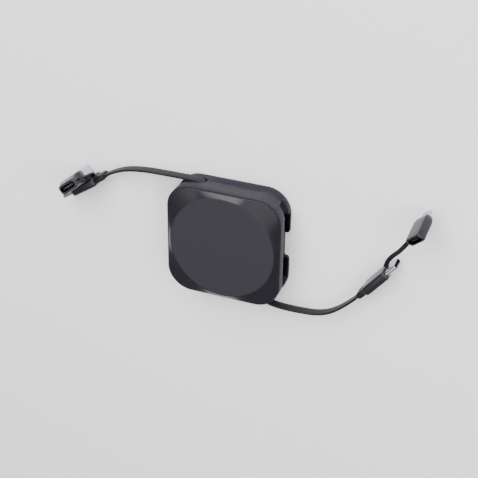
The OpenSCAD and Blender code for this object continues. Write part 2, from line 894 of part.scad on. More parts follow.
// Plastic tongue along one side of the USB-A shell
module usb_a_tongue() {
    color(black_plastic)
        at_left_adapter()
            translate([usb_a_body_len - usb_a_sunk + back_t, sheet_t - usb_a_t / 2, 2 * sheet_t - usb_a_w / 2])
                cube([usb_a_len + usb_a_sunk - 1, usb_a_tongue_t, usb_a_w - 4 * sheet_t]);
}

// The four contacts on the tongue
module usb_a_contacts() {
    strip = [8, 0.15, 1];
    color(gold)
        at_left_adapter()
            for (z = [-3.5, -1, 1, 3.5])
                translate([usb_a_body_len + 2.4, sheet_t - usb_a_t / 2 + usb_a_tongue_t, z - strip.z / 2])
                    cube(strip);
}

module left_cord() { color(cord_grey) flat_sweep(left_points, cord_w, cord_t, [0, 0, 1]); }
module right_cord() { color(cord_grey) flat_sweep(right_points, cord_w, cord_t, [0, 0, 1]); }

module left_tether() {
    along = [cos(left_heading), sin(left_heading), 0];
    color(dark_plastic)
        flat_sweep([for (p = left_tether_route) left_origin + p], tether_w, tether_t, along);
}

module right_tether() {
    color(dark_plastic)
        flat_sweep([for (p = right_tether_route) right_origin + p], tether_w, tether_t, [0, 0, 1]);
}

module left_relief() { at_left_plug() relief_body(); }
module left_grip() { at_left_plug() grip_body(); }
module left_plug_shell() { at_left_plug() usb_c_shell(); }
module left_plug_insert() { at_left_plug() usb_c_insert(); }
module left_plug_contacts() { at_left_plug() usb_c_contacts(); }
module left_socket_shell() { at_left_adapter() socket_shell(); }
module left_socket_tongue() { at_left_adapter() socket_tongue(); }

module right_relief() { at_right_plug() relief_body(); }
module right_grip() { at_right_plug() grip_body(); }
module right_plug_shell() { at_right_plug() usb_c_shell(); }
module right_plug_insert() { at_right_plug() usb_c_insert(); }
module right_plug_contacts() { at_right_plug() usb_c_contacts(); }
module right_socket_shell() { at_right_adapter() socket_shell(); }
module right_socket_tongue() { at_right_adapter() socket_tongue(); }

rear_shell();
front_shell();
front_plate();
case_screws();
reel_drum();
reel_flange();
flange_screws();
spring_cover();
power_spring();
cord_coil();
catch_ball();
left_cord();
left_relief();
left_grip();
left_plug_shell();
left_plug_insert();
left_plug_contacts();
left_tether();
left_adapter();
left_socket_shell();
left_socket_tongue();
usb_a_shell();
usb_a_tongue();
usb_a_contacts();
right_cord();
right_relief();
right_grip();
right_plug_shell();
right_plug_insert();
right_plug_contacts();
right_tether();
right_adapter();
right_socket_shell();
right_socket_tongue();
blade();
blade_contacts();
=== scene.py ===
"""Dresses the retractable charging cable: a square case with a sprung reel, two flat cords, plugs and adapters.

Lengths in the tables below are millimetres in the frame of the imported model, and become metres in mm().
"""
import json
import math

import bmesh
import bpy
from bpy.props import FloatProperty, FloatVectorProperty, IntProperty, PointerProperty
from mathutils import Matrix, Vector

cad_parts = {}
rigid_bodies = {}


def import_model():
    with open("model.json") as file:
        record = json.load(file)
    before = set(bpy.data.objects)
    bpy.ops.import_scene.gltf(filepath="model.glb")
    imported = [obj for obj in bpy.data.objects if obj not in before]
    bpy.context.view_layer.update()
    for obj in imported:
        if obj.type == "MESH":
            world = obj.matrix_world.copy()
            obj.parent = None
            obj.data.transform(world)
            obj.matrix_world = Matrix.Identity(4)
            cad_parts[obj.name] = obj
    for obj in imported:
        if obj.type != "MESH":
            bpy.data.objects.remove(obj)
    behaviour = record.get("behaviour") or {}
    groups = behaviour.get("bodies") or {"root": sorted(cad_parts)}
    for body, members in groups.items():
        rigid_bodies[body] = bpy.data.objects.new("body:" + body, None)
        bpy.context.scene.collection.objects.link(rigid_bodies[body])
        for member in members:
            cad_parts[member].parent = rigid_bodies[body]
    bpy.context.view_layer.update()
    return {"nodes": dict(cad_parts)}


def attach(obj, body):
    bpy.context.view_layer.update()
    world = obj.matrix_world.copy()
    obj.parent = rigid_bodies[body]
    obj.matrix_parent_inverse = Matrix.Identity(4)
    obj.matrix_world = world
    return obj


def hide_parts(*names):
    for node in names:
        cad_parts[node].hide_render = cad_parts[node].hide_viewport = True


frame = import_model()

bl_info = {
    "name": "Retractable charging cable",
    "version": (1, 0, 0),
    "blender": (4, 5, 0),
    "location": "View3D > Sidebar > Cable",
    "description": "Builds the case, reel, cords, plugs and adapters of a retractable charging cable",
    "category": "Object",
}

MM = 0.001

# The case: half its width, its corner radius, and where its shells meet, with the depth and height of the gap there
CASE_HALF, CASE_CORNER = 30, 12.75
PARTING_Z, GAP_DEEP, GAP_HIGH = 7.0, 0.3, 0.5

# The two ends of the cable: where each cord's own route starts, and the plug's heading in plan
SIDES = {
    "left": {"origin": (-17, 30, 0), "heading": 214},
    "right": {"origin": (17, -30, 0), "heading": 52},
}

# Centres of the cords, as in the solids: from the coil over the guide, then along the free stretch.
# The height is a share of the drop from the slot to the plug.
SLOT_Z = 7.7
PLUG_Z = 5.25
LEAVE = (8.334, 19.221)
MEET = (-16.085, 29.81)
ROUTES = {
    "left": [
        (0, 0, 1), (-5, 0, 0.96), (-10, -0.1, 0.88), (-15, -0.3, 0.76), (-21, -0.6, 0.63), (-27, -1, 0.47),
        (-33, -1.7, 0.35), (-38, -2.7, 0.22), (-42, -3.9, 0.14), (-46, -5.6, 0.06), (-49, -7.2, 0.02),
        (-52.3, -9.2, 0),
    ],
    "right": [
        (3, -1.4, 1), (5.5, -2.4, 0.96), (8, -3.1, 0.92), (11.5, -3.6, 0.84), (16, -3.9, 0.76),
        (23, -3.9, 0.63), (29, -3.5, 0.55), (33, -2.6, 0.47), (36.7, -1.1, 0.39), (40, 1, 0.31),
        (43.3, 3.7, 0.22), (46.3, 6.5, 0.1), (48.9, 9.2, 0.02), (51, 11.9, 0),
    ],
}

# Centres of the straps from each plug's grip to its adapter, from the cord's own start
STRAPS = {
    "left": [(-59.2, -11.2, 6), (-58.7, -9.3, 7.2), (-58.5, -7.8, 10), (-59.3, -7.1, 14.5), (-60.8, -7, 18.8)],
    "right": [
        (62.9, 31, 5.2), (63.8, 34.6, 5.9), (66.2, 39.4, 8.6), (70.2, 45.4, 12.4), (73.2, 50.6, 15),
        (75.6, 54.8, 16.2),
    ],
}

# Adapters: the middle of the socket's face from the cord's own start, and the turns about X, Y and Z
ADAPTERS = {
    "left": ((-64.6, -10, 23.3), (7, 78, 226)),
    "right": ((78.5, 57.4, 20.4), (26.5, 64.4, 76.6)),
}


def mm(*values):
    """Millimetres to a vector in metres."""
    return Vector(values) * MM


def linear(colour):
    """An sRGB hex colour as linear red, green, blue and alpha."""
    parts = [int(colour[i:i + 2], 16) / 255 for i in (1, 3, 5)]
    return tuple(c / 12.92 if c <= 0.04045 else ((c + 0.055) / 1.055) ** 2.4 for c in parts) + (1.0,)


def add(tree, kind, sockets=None, **settings):
    """Adds a node to a tree, with its settings, and sets or links its sockets."""
    made = tree.nodes.new(kind)
    for key, value in settings.items():
        setattr(made, key, value)
    for socket, value in (sockets or {}).items():
        if isinstance(value, bpy.types.NodeSocket):
            tree.links.new(value, made.inputs[socket])
        else:
            made.inputs[socket].default_value = value
    return made


def new_material(name):
    """An empty node material, its tree and its shader."""
    material = bpy.data.materials.new(name)
    material.use_nodes = True
    tree = material.node_tree
    tree.nodes.clear()
    shader = add(tree, "ShaderNodeBsdfPrincipled")
    add(tree, "ShaderNodeOutputMaterial", {"Surface": shader.outputs["BSDF"]})
    return material, tree, shader


def blend(tree, factor, dark, light):
    """A colour between two sRGB hex colours."""
    tone = add(tree, "ShaderNodeMix", {"Factor": factor}, data_type="RGBA")
    tone.inputs["A"].default_value = linear(dark)
    tone.inputs["B"].default_value = linear(light)
    return tone.outputs["Result"]


def surface(tree, shader, colour, sheen, height, strength, relief):
    """Links a shader's colour, its roughness and a bump of that relief in millimetres."""
    bump = add(tree, "ShaderNodeBump", {"Height": height, "Strength": strength, "Distance": relief * MM})
    tree.links.new(colour, shader.inputs["Base Color"])
    tree.links.new(sheen, shader.inputs["Roughness"])
    tree.links.new(bump.outputs["Normal"], shader.inputs["Normal"])


def moulded(name, dark, light, grain, relief, roughness, shine=0.3, disc=None, painted_pocket_shade=None):
    """Moulded plastic: a fine etched grain of that size and depth in millimetres, and slow drifts of tone and gloss.

    The grain shades itself, so shine is below the 0.5 of a polished face. disc is the radius in millimetres,
    roughness and colour of a round face in the middle. painted_pocket_shade is the near and far corner in millimetres,
    roughness and colour of a recess, mirrored to all four sides, its colour painted shade in the recess.
    """
    material, tree, shader = new_material(name)
    where = add(tree, "ShaderNodeTexCoord").outputs["Object"]
    etched = add(tree, "ShaderNodeTexNoise", {"Vector": where, "Scale": 1 / (grain * MM), "Detail": 3.0})
    flow = add(tree, "ShaderNodeTexNoise", {"Vector": where, "Scale": 1 / (14 * MM), "Detail": 2.0})
    colour = blend(tree, flow.outputs["Fac"], dark, light)
    gloss = add(tree, "ShaderNodeMapRange", {
        "Value": etched.outputs["Fac"], "To Min": roughness - 0.06, "To Max": roughness + 0.06,
    })
    sheen = gloss.outputs["Result"]
    places = []
    if disc:
        flat = add(tree, "ShaderNodeVectorMath", {0: where, 1: (1.0, 1.0, 0.0)}, operation="MULTIPLY")
        away = add(tree, "ShaderNodeVectorMath", {0: flat.outputs["Vector"]}, operation="LENGTH")
        inside = add(tree, "ShaderNodeMath", {0: away.outputs["Value"], 1: disc[0] * MM}, operation="LESS_THAN")
        places.append((inside.outputs[0], disc[1], disc[2]))
    # The recess is painted near black: painted shade in the pockets, with a smoother finish there
    if painted_pocket_shade:
        # Farthest of the three distances from the recess's middle, each as a share of its half size
        near, far = mm(*painted_pocket_shade[0]), mm(*painted_pocket_shade[1])
        folded = add(tree, "ShaderNodeVectorMath", {0: where}, operation="ABSOLUTE")
        centred = add(tree, "ShaderNodeVectorMath", {
            0: folded.outputs["Vector"], 1: (near + far) / 2,
        }, operation="SUBTRACT")
        shares = add(tree, "ShaderNodeVectorMath", {
            0: centred.outputs["Vector"], 1: (far - near) / 2,
        }, operation="DIVIDE")
        sizes = add(tree, "ShaderNodeVectorMath", {0: shares.outputs["Vector"]}, operation="ABSOLUTE")
        each = add(tree, "ShaderNodeSeparateXYZ", {"Vector": sizes.outputs["Vector"]})
        most = add(tree, "ShaderNodeMath", {0: each.outputs["X"], 1: each.outputs["Y"]}, operation="MAXIMUM")
        most = add(tree, "ShaderNodeMath", {0: most.outputs[0], 1: each.outputs["Z"]}, operation="MAXIMUM")
        inside = add(tree, "ShaderNodeMath", {0: most.outputs[0], 1: 1.0}, operation="LESS_THAN")
        places.append((inside.outputs[0], painted_pocket_shade[2], painted_pocket_shade[3]))
    for inside, rough, shade in places:
        other = add(tree, "ShaderNodeMix", {"Factor": inside}, data_type="RGBA")
        tree.links.new(colour, other.inputs["A"])
        other.inputs["B"].default_value = linear(shade)
        colour = other.outputs["Result"]
        turned = add(tree, "ShaderNodeMath", {0: inside, 1: rough - roughness, 2: sheen}, operation="MULTIPLY_ADD")
        sheen = turned.outputs[0]
    surface(tree, shader, colour, sheen, etched.outputs["Fac"], 0.5, relief)
    shader.inputs["IOR"].default_value = 1.5
    shader.inputs["Specular IOR Level"].default_value = shine
    return material


def drawn_metal(name, dark, light, roughness, line, relief):
    """Metal with fine lines along X from drawing or rolling, the given distance in millimetres apart."""
    material, tree, shader = new_material(name)
    where = add(tree, "ShaderNodeTexCoord").outputs["Object"]
    along = add(tree, "ShaderNodeMapping", {"Vector": where, "Scale": (0.12, 1.0, 1.0)})
    lines = add(tree, "ShaderNodeTexNoise", {"Vector": along.outputs["Vector"], "Scale": 1 / (line * MM), "Detail": 3.0})
    tone = blend(tree, lines.outputs["Fac"], dark, light)
    gloss = add(tree, "ShaderNodeMapRange", {
        "Value": lines.outputs["Fac"], "To Min": roughness - 0.05, "To Max": roughness + 0.08,
    })
    surface(tree, shader, tone, gloss.outputs["Result"], lines.outputs["Fac"], 0.4, relief)
    shader.inputs["Metallic"].default_value = 1.0
    return material


def extruded_jacket(name, dark, light):
    """Extruded elastomer of the flat cord: fine die lines run along it, so the pattern follows its UV map."""
    material, tree, shader = new_material(name)
    where = add(tree, "ShaderNodeUVMap", uv_map="Run").outputs["UV"]
    along = add(tree, "ShaderNodeMapping", {"Vector": where, "Scale": (0.06, 1.0, 1.0)})
    # One UV unit is a centimetre, and die lines lie 0.25 mm apart
    lines = add(tree, "ShaderNodeTexNoise", {"Vector": along.outputs["Vector"], "Scale": 40.0, "Detail": 2.0})
    dust = add(tree, "ShaderNodeTexNoise", {"Vector": where, "Scale": 14.0, "Detail": 3.0})
    tone = blend(tree, dust.outputs["Fac"], dark, light)
    gloss = add(tree, "ShaderNodeMapRange", {"Value": dust.outputs["Fac"], "To Min": 0.42, "To Max": 0.56})
    surface(tree, shader, tone, gloss.outputs["Result"], lines.outputs["Fac"], 0.35, 0.02)
    shader.inputs["IOR"].default_value = 1.5
    shader.inputs["Specular IOR Level"].default_value = 0.22
    return material


FINISHES = {
    # ABS from a spark-eroded mould: matt, with a fine grain that spreads the light. Grain drawn at 0.3 mm
    # for a real 0.1 mm, so that it shows. The pockets are smoother, and painted near black as painted shade in the
    # recesses.
    "case_plastic": lambda: moulded(
        "moulded_abs_painted_pocket_shade", "#1F1D27", "#23212B", 0.3, 0.015, 0.5, 0.16,
        painted_pocket_shade=((24.3, -1, 2.6), (29.7, 18.3, 11.2), 0.3, "#08080A")),
    # The same resin on the front plate: the disc keeps the eroded grain, and the slopes round it are polished
    # to a satin that mirrors the light in crescents
    # The slopes' tone is darker than the case resin: painted shade of faces turned from the light; the disc keeps a
    # tone near the resin's
    "case_front": lambda: moulded(
        "polished_abs_painted_slope_shade", "#15141B", "#19181F", 0.2, 0.002, 0.28, 0.36, disc=(27.4, 0.6, "#242229")),
    # Elastomer over the plugs: darker than the case, and smooth enough to mirror the pale floor at a slant
    "grip_plastic": lambda: moulded("overmoulded_elastomer", "#17151D", "#1B1921", 0.35, 0.0015, 0.28, 0.4),
    # Acetal of the reel: slightly waxy
    "reel_plastic": lambda: moulded("moulded_acetal", "#19191C", "#1E1E21", 0.5, 0.01, 0.4, 0.4),
    # Soft elastomer of the reliefs and straps
    "strap_rubber": lambda: moulded("soft_elastomer", "#131218", "#17161C", 0.3, 0.006, 0.42, 0.25),
    # Glass-filled insulator: hard, black and slightly glossy
    "black_insulator": lambda: moulded("moulded_liquid_crystal_polymer", "#0E0E10", "#131315", 0.2, 0.01, 0.4, 0.4),
    # Extruded jacket of the flat cord
    "cord_jacket": lambda: extruded_jacket("extruded_cord_jacket", "#121118", "#16151C"),
    # Stainless sheet with bright nickel plating
    "plug_metal": lambda: drawn_metal("nickel_plated_steel", "#A9A8B8", "#D6D5E0", 0.18, 0.06, 0.0001),
    # Socket metal painted near black as painted shade inside the sockets, so that only a thin line of their rims shows
    "socket_metal_painted_shade": lambda: drawn_metal("socket_steel_painted_shade", "#1C1C1F", "#28282C", 0.3, 0.1, 0.0004),
    # Zinc-plated screws, rolled and tumbled
    "screw_steel": lambda: drawn_metal("zinc_plated_steel", "#A9ABAF", "#C9CBCF", 0.34, 0.2, 0.001),
    # Blued strip of the power spring
    "spring_steel": lambda: drawn_metal("rolled_spring_steel", "#6B7076", "#8C9298", 0.3, 0.15, 0.001),
    # Ground and polished ball
    "ball_steel": lambda: drawn_metal("polished_bearing_steel", "#C4C6C9", "#DCDEE0", 0.12, 0.2, 0.0003),
    # Gold flash on the contacts
    "gold_contact": lambda: drawn_metal("gold_plated_bronze", "#C79A3C", "#E2BC66", 0.25, 0.08, 0.0004),
}
made_finishes = {}


def finish_of(slot):
    """The material of that name in the table above, made when it is first asked for."""
    if slot not in made_finishes:
        made_finishes[slot] = FINISHES[slot]()
    return made_finishes[slot]


def put(name, mesh, slot, body, replaces=(), sharp=35, finish=None):
    """Links a finished mesh as a piece at the origin, gives it its finish and ties it to its body."""
    mesh.materials.clear()
    mesh.materials.append(finish_of(finish or slot))
    mesh.polygons.foreach_set("use_smooth", [True] * len(mesh.polygons))
    mesh.set_sharp_from_angle(angle=math.radians(sharp))
    piece = bpy.data.objects.new(name, mesh)
    bpy.context.collection.objects.link(piece)
    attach(piece, body)
    if replaces:
        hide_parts(*replaces)
    return piece


def dress(node, slot):
    """Gives a CAD node that keeps its own shape the finish of its slot."""
    slots = frame["nodes"][node].material_slots
    for entry in slots:
        entry.material = finish_of(slot)


def loft(name, rings, closed=False, matrix=None, run=None):
    """A mesh through rings of equally many points. Its ends are capped, unless it closes on itself.

    run, where given, is (lengths along, lengths around) in centimetres for a UV map that follows the piece.
    """
    bm = bmesh.new()
    loops = [[bm.verts.new(p) for p in ring] for ring in rings]
    layer = bm.loops.layers.uv.new("Run") if run else None
    pairs = [(i, i + 1) for i in range(len(loops) - 1)] + ([(len(loops) - 1, 0)] if closed else [])
    count = len(loops[0])
    for i, k in pairs:
        for j in range(count):
            after = (j + 1) % count
            face = bm.faces.new((loops[i][j], loops[k][j], loops[k][after], loops[i][after]))
            if layer:
                corners = ((i, j), (k, j), (k, j + 1), (i, j + 1))
                for corner, (ring, step) in zip(face.loops, corners):
                    corner[layer].uv = (run[0][ring], run[1][step])
    if not closed:
        bm.faces.new(loops[0])
        bm.faces.new(loops[-1])
    bmesh.ops.remove_doubles(bm, verts=bm.verts, dist=1e-7)
    bmesh.ops.dissolve_degenerate(bm, edges=bm.edges, dist=1e-8)
    bmesh.ops.recalc_face_normals(bm, faces=bm.faces)
    mesh = bpy.data.meshes.new(name)
    bm.to_mesh(mesh)
    bm.free()
    if matrix:
        mesh.transform(matrix)
    return mesh


def section(thick, wide, radius, corner=7):
    """Rounded rectangle as (y, z) pairs in millimetres, its thickness along Y."""
    radius = min(radius, thick / 2, wide / 2)
    points = []
    for turn, (sy, sz) in enumerate(((1, 1), (-1, 1), (-1, -1), (1, -1))):
        for j in range(corner + 1):
            angle = math.radians(90 * (turn + j / corner))
            points.append((
                sy * (thick / 2 - radius) + radius * math.cos(angle),
                sz * (wide / 2 - radius) + radius * math.sin(angle),
            ))
    return points


def rings_along_x(table, corner=7):
    """Rings in metres from rows of x, thickness, width and corner radius in millimetres."""
    return [[mm(x, y, z) for y, z in section(t, w, r, corner)] for x, t, w, r in table]


def smooth_route(points, count):
    """Evenly spaced points on one smooth curve through the given ones."""
    ends = [2 * points[0] - points[1]] + points + [2 * points[-1] - points[-2]]
    fine = []
    for a, b, c, d in zip(ends, ends[1:], ends[2:], ends[3:]):
        t1 = (b - a).length ** 0.5
        t2 = t1 + (c - b).length ** 0.5
        t3 = t2 + (d - c).length ** 0.5
        for i in range(16):
            t = t1 + (t2 - t1) * i / 16
            ab = a.lerp(b, t / t1)
            bc = b.lerp(c, (t - t1) / (t2 - t1))
            cd = c.lerp(d, (t - t2) / (t3 - t2))
            abc = ab.lerp(bc, t / t2)
            bcd = bc.lerp(cd, (t - t1) / (t3 - t1))
            fine.append(abc.lerp(bcd, (t - t1) / (t2 - t1)))
    fine.append(points[-1].copy())
    reach = [0.0]
    for a, b in zip(fine, fine[1:]):
        reach.append(reach[-1] + (b - a).length)
    even, at = [], 0
    for i in range(count):
        want = reach[-1] * i / (count - 1)
        while at < len(fine) - 2 and reach[at + 1] < want:
            at += 1
        even.append(fine[at].lerp(fine[at + 1], (want - reach[at]) / (reach[at + 1] - reach[at])))
    return even


def sweep(name, route, thick, wide, radius, hold, corner=4):
    """A flat strip swept along a route, its width held near the direction hold."""
    flat = section(thick, wide, radius, corner)
    rings, lengths = [], [0.0]
    for i, at in enumerate(route):
        along = (route[min(i + 1, len(route) - 1)] - route[max(i - 1, 0)]).normalized()
        across = along.cross(hold).normalized()
        up = across.cross(along)
        rings.append([at + (across * y + up * z) * MM for y, z in flat])
        if i:
            lengths.append(lengths[-1] + (at - route[i - 1]).length * 100)
    around = [0.0]
    for (y0, z0), (y1, z1) in zip(flat, flat[1:] + flat[:1]):
        around.append(around[-1] + math.hypot(y1 - y0, z1 - z0) / 10)
    return loft(name, rings, run=(lengths, around))


def roomy_edges(bm, width, angle):
    """Sharp edges whose neighbours leave room for a rounding of that width."""
    sharp = {e for e in bm.edges if len(e.link_faces) == 2 and e.calc_face_angle(0) > math.radians(angle)}

    def room_at(vert):
        meeting = [e for e in vert.link_edges if e in sharp]
        if len(meeting) == 2:
            a, b = (e.other_vert(vert).co - vert.co for e in meeting)
            if a.angle(b, 0) > math.radians(140):
                return all(e.calc_length() > 2.2 * width for e in vert.link_edges if e not in sharp)
        return all(e.calc_length() > 2.2 * width for e in vert.link_edges)

    roomy = {v for e in sharp for v in e.verts if room_at(v)}
    return [e for e in sharp if e.verts[0] in roomy and e.verts[1] in roomy]


def softened(node, width, angle=30, segments=2):
    """A merged copy of a CAD node's mesh with its sharp edges rounded a little, so that they catch the light."""
    source = frame["nodes"][node]
    bm = bmesh.new()
    bm.from_mesh(source.data)
    bm.transform(source.matrix_world)
    bmesh.ops.remove_doubles(bm, verts=bm.verts, dist=2e-6)
    bmesh.ops.dissolve_degenerate(bm, edges=bm.edges, dist=1e-6)
    bmesh.ops.dissolve_limit(bm, angle_limit=math.radians(1.5), verts=bm.verts, edges=bm.edges)
    bmesh.ops.bevel(bm, geom=roomy_edges(bm, width * MM, angle), offset=width * MM, segments=segments, profile=0.5,
                    affect="EDGES", miter_outer="ARC")
    mesh = bpy.data.meshes.new(node + "_soft_edges")
    bm.to_mesh(mesh)
    bm.free()
    return mesh


def grow(name, tree, values, slot, body, replaces=(), matrix=None, finish=None):
    """Runs a Geometry Nodes tree with the given inputs and keeps its result as one plain piece."""
    holder = bpy.data.objects.new(name + "_nodes", bpy.data.meshes.new(name))
    bpy.context.collection.objects.link(holder)
    build = holder.modifiers.new("Build", "NODES")
    build.node_group = tree
    values = dict(values, Finish=finish_of(finish or slot))
    for item in tree.interface.items_tree:
        if item.item_type == "SOCKET" and item.in_out == "INPUT" and item.name in values:
            build[item.identifier] = values[item.name]
    scene_now = bpy.context.evaluated_depsgraph_get()
    mesh = bpy.data.meshes.new_from_object(holder.evaluated_get(scene_now), depsgraph=scene_now)
    mesh.name = name
    holder.modifiers.clear()
    bpy.data.objects.remove(holder)
    if not mesh.polygons:
        raise RuntimeError(name + ": the node tree made no faces")
    if matrix:
        mesh.transform(matrix)
    return put(name, mesh, slot, body, replaces, finish=finish)


def new_tree(name, inputs):
    """A Geometry Nodes tree with named inputs, and the node that gives them."""
    tree = bpy.data.node_groups.new(name, "GeometryNodeTree")
    kinds = {"int": "NodeSocketInt", "float": "NodeSocketFloat", "material": "NodeSocketMaterial"}
    for label, kind in inputs:
        tree.interface.new_socket(name=label, in_out="INPUT", socket_type=kinds[kind])
    tree.interface.new_socket(name="Geometry", in_out="OUTPUT", socket_type="NodeSocketGeometry")
    return tree, add(tree, "NodeGroupInput").outputs


def end_tree(tree, geometry, material):
    """Realizes what the tree made, gives it its material and passes it on."""
    real = add(tree, "GeometryNodeRealizeInstances", {"Geometry": geometry})
    finished = add(tree, "GeometryNodeSetMaterial", {"Geometry": real.outputs["Geometry"], "Material": material})
    add(tree, "NodeGroupOutput", {"Geometry": finished.outputs["Geometry"]})
    return tree


def wound_strip_tree():
    """A flat strip wound in a spiral on its edge: the cord on the reel, and the power spring."""
    tree, given = new_tree("wound_strip", [
        ("Turns", "float"), ("Inner Radius", "float"), ("Outer Radius", "float"), ("Thickness", "float"),
        ("Width", "float"), ("Edge Radius", "float"), ("Middle Height", "float"), ("Start Angle", "float"),
        ("Points a Turn", "int"), ("Finish", "material"),
    ])
    spiral = add(tree, "GeometryNodeCurveSpiral", {
        "Resolution": given["Points a Turn"], "Rotations": given["Turns"], "Start Radius": given["Inner Radius"],
        "End Radius": given["Outer Radius"], "Height": 0.0,
    })
    upright = add(tree, "GeometryNodeSetCurveNormal", {"Curve": spiral.outputs["Curve"]}, mode="Z_UP")
    flat = add(tree, "GeometryNodeCurvePrimitiveQuadrilateral", {
        "Width": given["Thickness"], "Height": given["Width"],
    })
    rounded = add(tree, "GeometryNodeFilletCurve", {
        "Curve": flat.outputs["Curve"], "Radius": given["Edge Radius"], "Count": 3,
    }, mode="POLY")
    strip = add(tree, "GeometryNodeCurveToMesh", {
        "Curve": upright.outputs["Curve"], "Profile Curve": rounded.outputs["Curve"], "Fill Caps": True,
    })
    height = add(tree, "ShaderNodeCombineXYZ", {"Z": given["Middle Height"]})
    turn = add(tree, "ShaderNodeCombineXYZ", {"Z": given["Start Angle"]})
    placed = add(tree, "GeometryNodeTransform", {
        "Geometry": strip.outputs["Mesh"], "Translation": height.outputs["Vector"], "Rotation": turn.outputs["Vector"],
    })
    return end_tree(tree, placed.outputs["Geometry"], given["Finish"])


def contact_rows_tree():
    """Rows of bowed spring contacts that face each other, side by side along Z and running along X."""
    tree, given = new_tree("contact_rows", [
        ("Contacts", "int"), ("Pitch", "float"), ("Length", "float"), ("Width", "float"), ("Thickness", "float"),
        ("Bow", "float"), ("Half Gap", "float"), ("Rows", "int"), ("Finish", "material"),
    ])
    middle = add(tree, "ShaderNodeMath", {0: given["Length"], 1: 0.62}, operation="MULTIPLY")
    near = add(tree, "ShaderNodeMath", {0: given["Length"], 1: 0.3}, operation="MULTIPLY")
    tip = add(tree, "ShaderNodeCombineXYZ", {"X": given["Length"]})
    first = add(tree, "ShaderNodeCombineXYZ", {"X": near.outputs[0], "Y": 0.0})
    second = add(tree, "ShaderNodeCombineXYZ", {"X": middle.outputs[0], "Y": given["Bow"]})
    bow = add(tree, "GeometryNodeCurvePrimitiveBezierSegment", {
        "Resolution": 8, "Start Handle": first.outputs["Vector"], "End Handle": second.outputs["Vector"],
        "End": tip.outputs["Vector"], "Start": (0.0, 0.0, 0.0),
    }, mode="POSITION")
    upright = add(tree, "GeometryNodeSetCurveNormal", {"Curve": bow.outputs["Curve"]}, mode="Z_UP")
    flat = add(tree, "GeometryNodeCurvePrimitiveQuadrilateral", {"Width": given["Thickness"], "Height": given["Width"]})
    spring = add(tree, "GeometryNodeCurveToMesh", {
        "Curve": upright.outputs["Curve"], "Profile Curve": flat.outputs["Curve"], "Fill Caps": True,
    })
    steps = add(tree, "ShaderNodeMath", {0: given["Contacts"], 1: 1.0}, operation="SUBTRACT")
    span = add(tree, "ShaderNodeMath", {0: steps.outputs[0], 1: given["Pitch"]}, operation="MULTIPLY")
    start = add(tree, "ShaderNodeMath", {0: span.outputs[0], 1: -0.5}, operation="MULTIPLY")
    from_here = add(tree, "ShaderNodeCombineXYZ", {"Z": start.outputs[0], "Y": given["Half Gap"]})
    apart = add(tree, "ShaderNodeCombineXYZ", {"Z": given["Pitch"]})
    line = add(tree, "GeometryNodeMeshLine", {
        "Count": given["Contacts"], "Start Location": from_here.outputs["Vector"], "Offset": apart.outputs["Vector"],
    })
    row = add(tree, "GeometryNodeInstanceOnPoints", {
        "Points": line.outputs["Mesh"], "Instance": spring.outputs["Mesh"],
    })
    real = add(tree, "GeometryNodeRealizeInstances", {"Geometry": row.outputs["Instances"]})
    turns = add(tree, "GeometryNodeMeshLine", {"Count": given["Rows"], "Offset": (0.0, 0.0, 0.0)})
    number = add(tree, "GeometryNodeInputIndex")
    half_turn = add(tree, "ShaderNodeMath", {0: number.outputs["Index"], 1: math.pi}, operation="MULTIPLY")
    about = add(tree, "ShaderNodeCombineXYZ", {"X": half_turn.outputs[0]})
    rows = add(tree, "GeometryNodeInstanceOnPoints", {
        "Points": turns.outputs["Mesh"], "Instance": real.outputs["Geometry"], "Rotation": about.outputs["Vector"],
    })
    return end_tree(tree, rows.outputs["Instances"], given["Finish"])


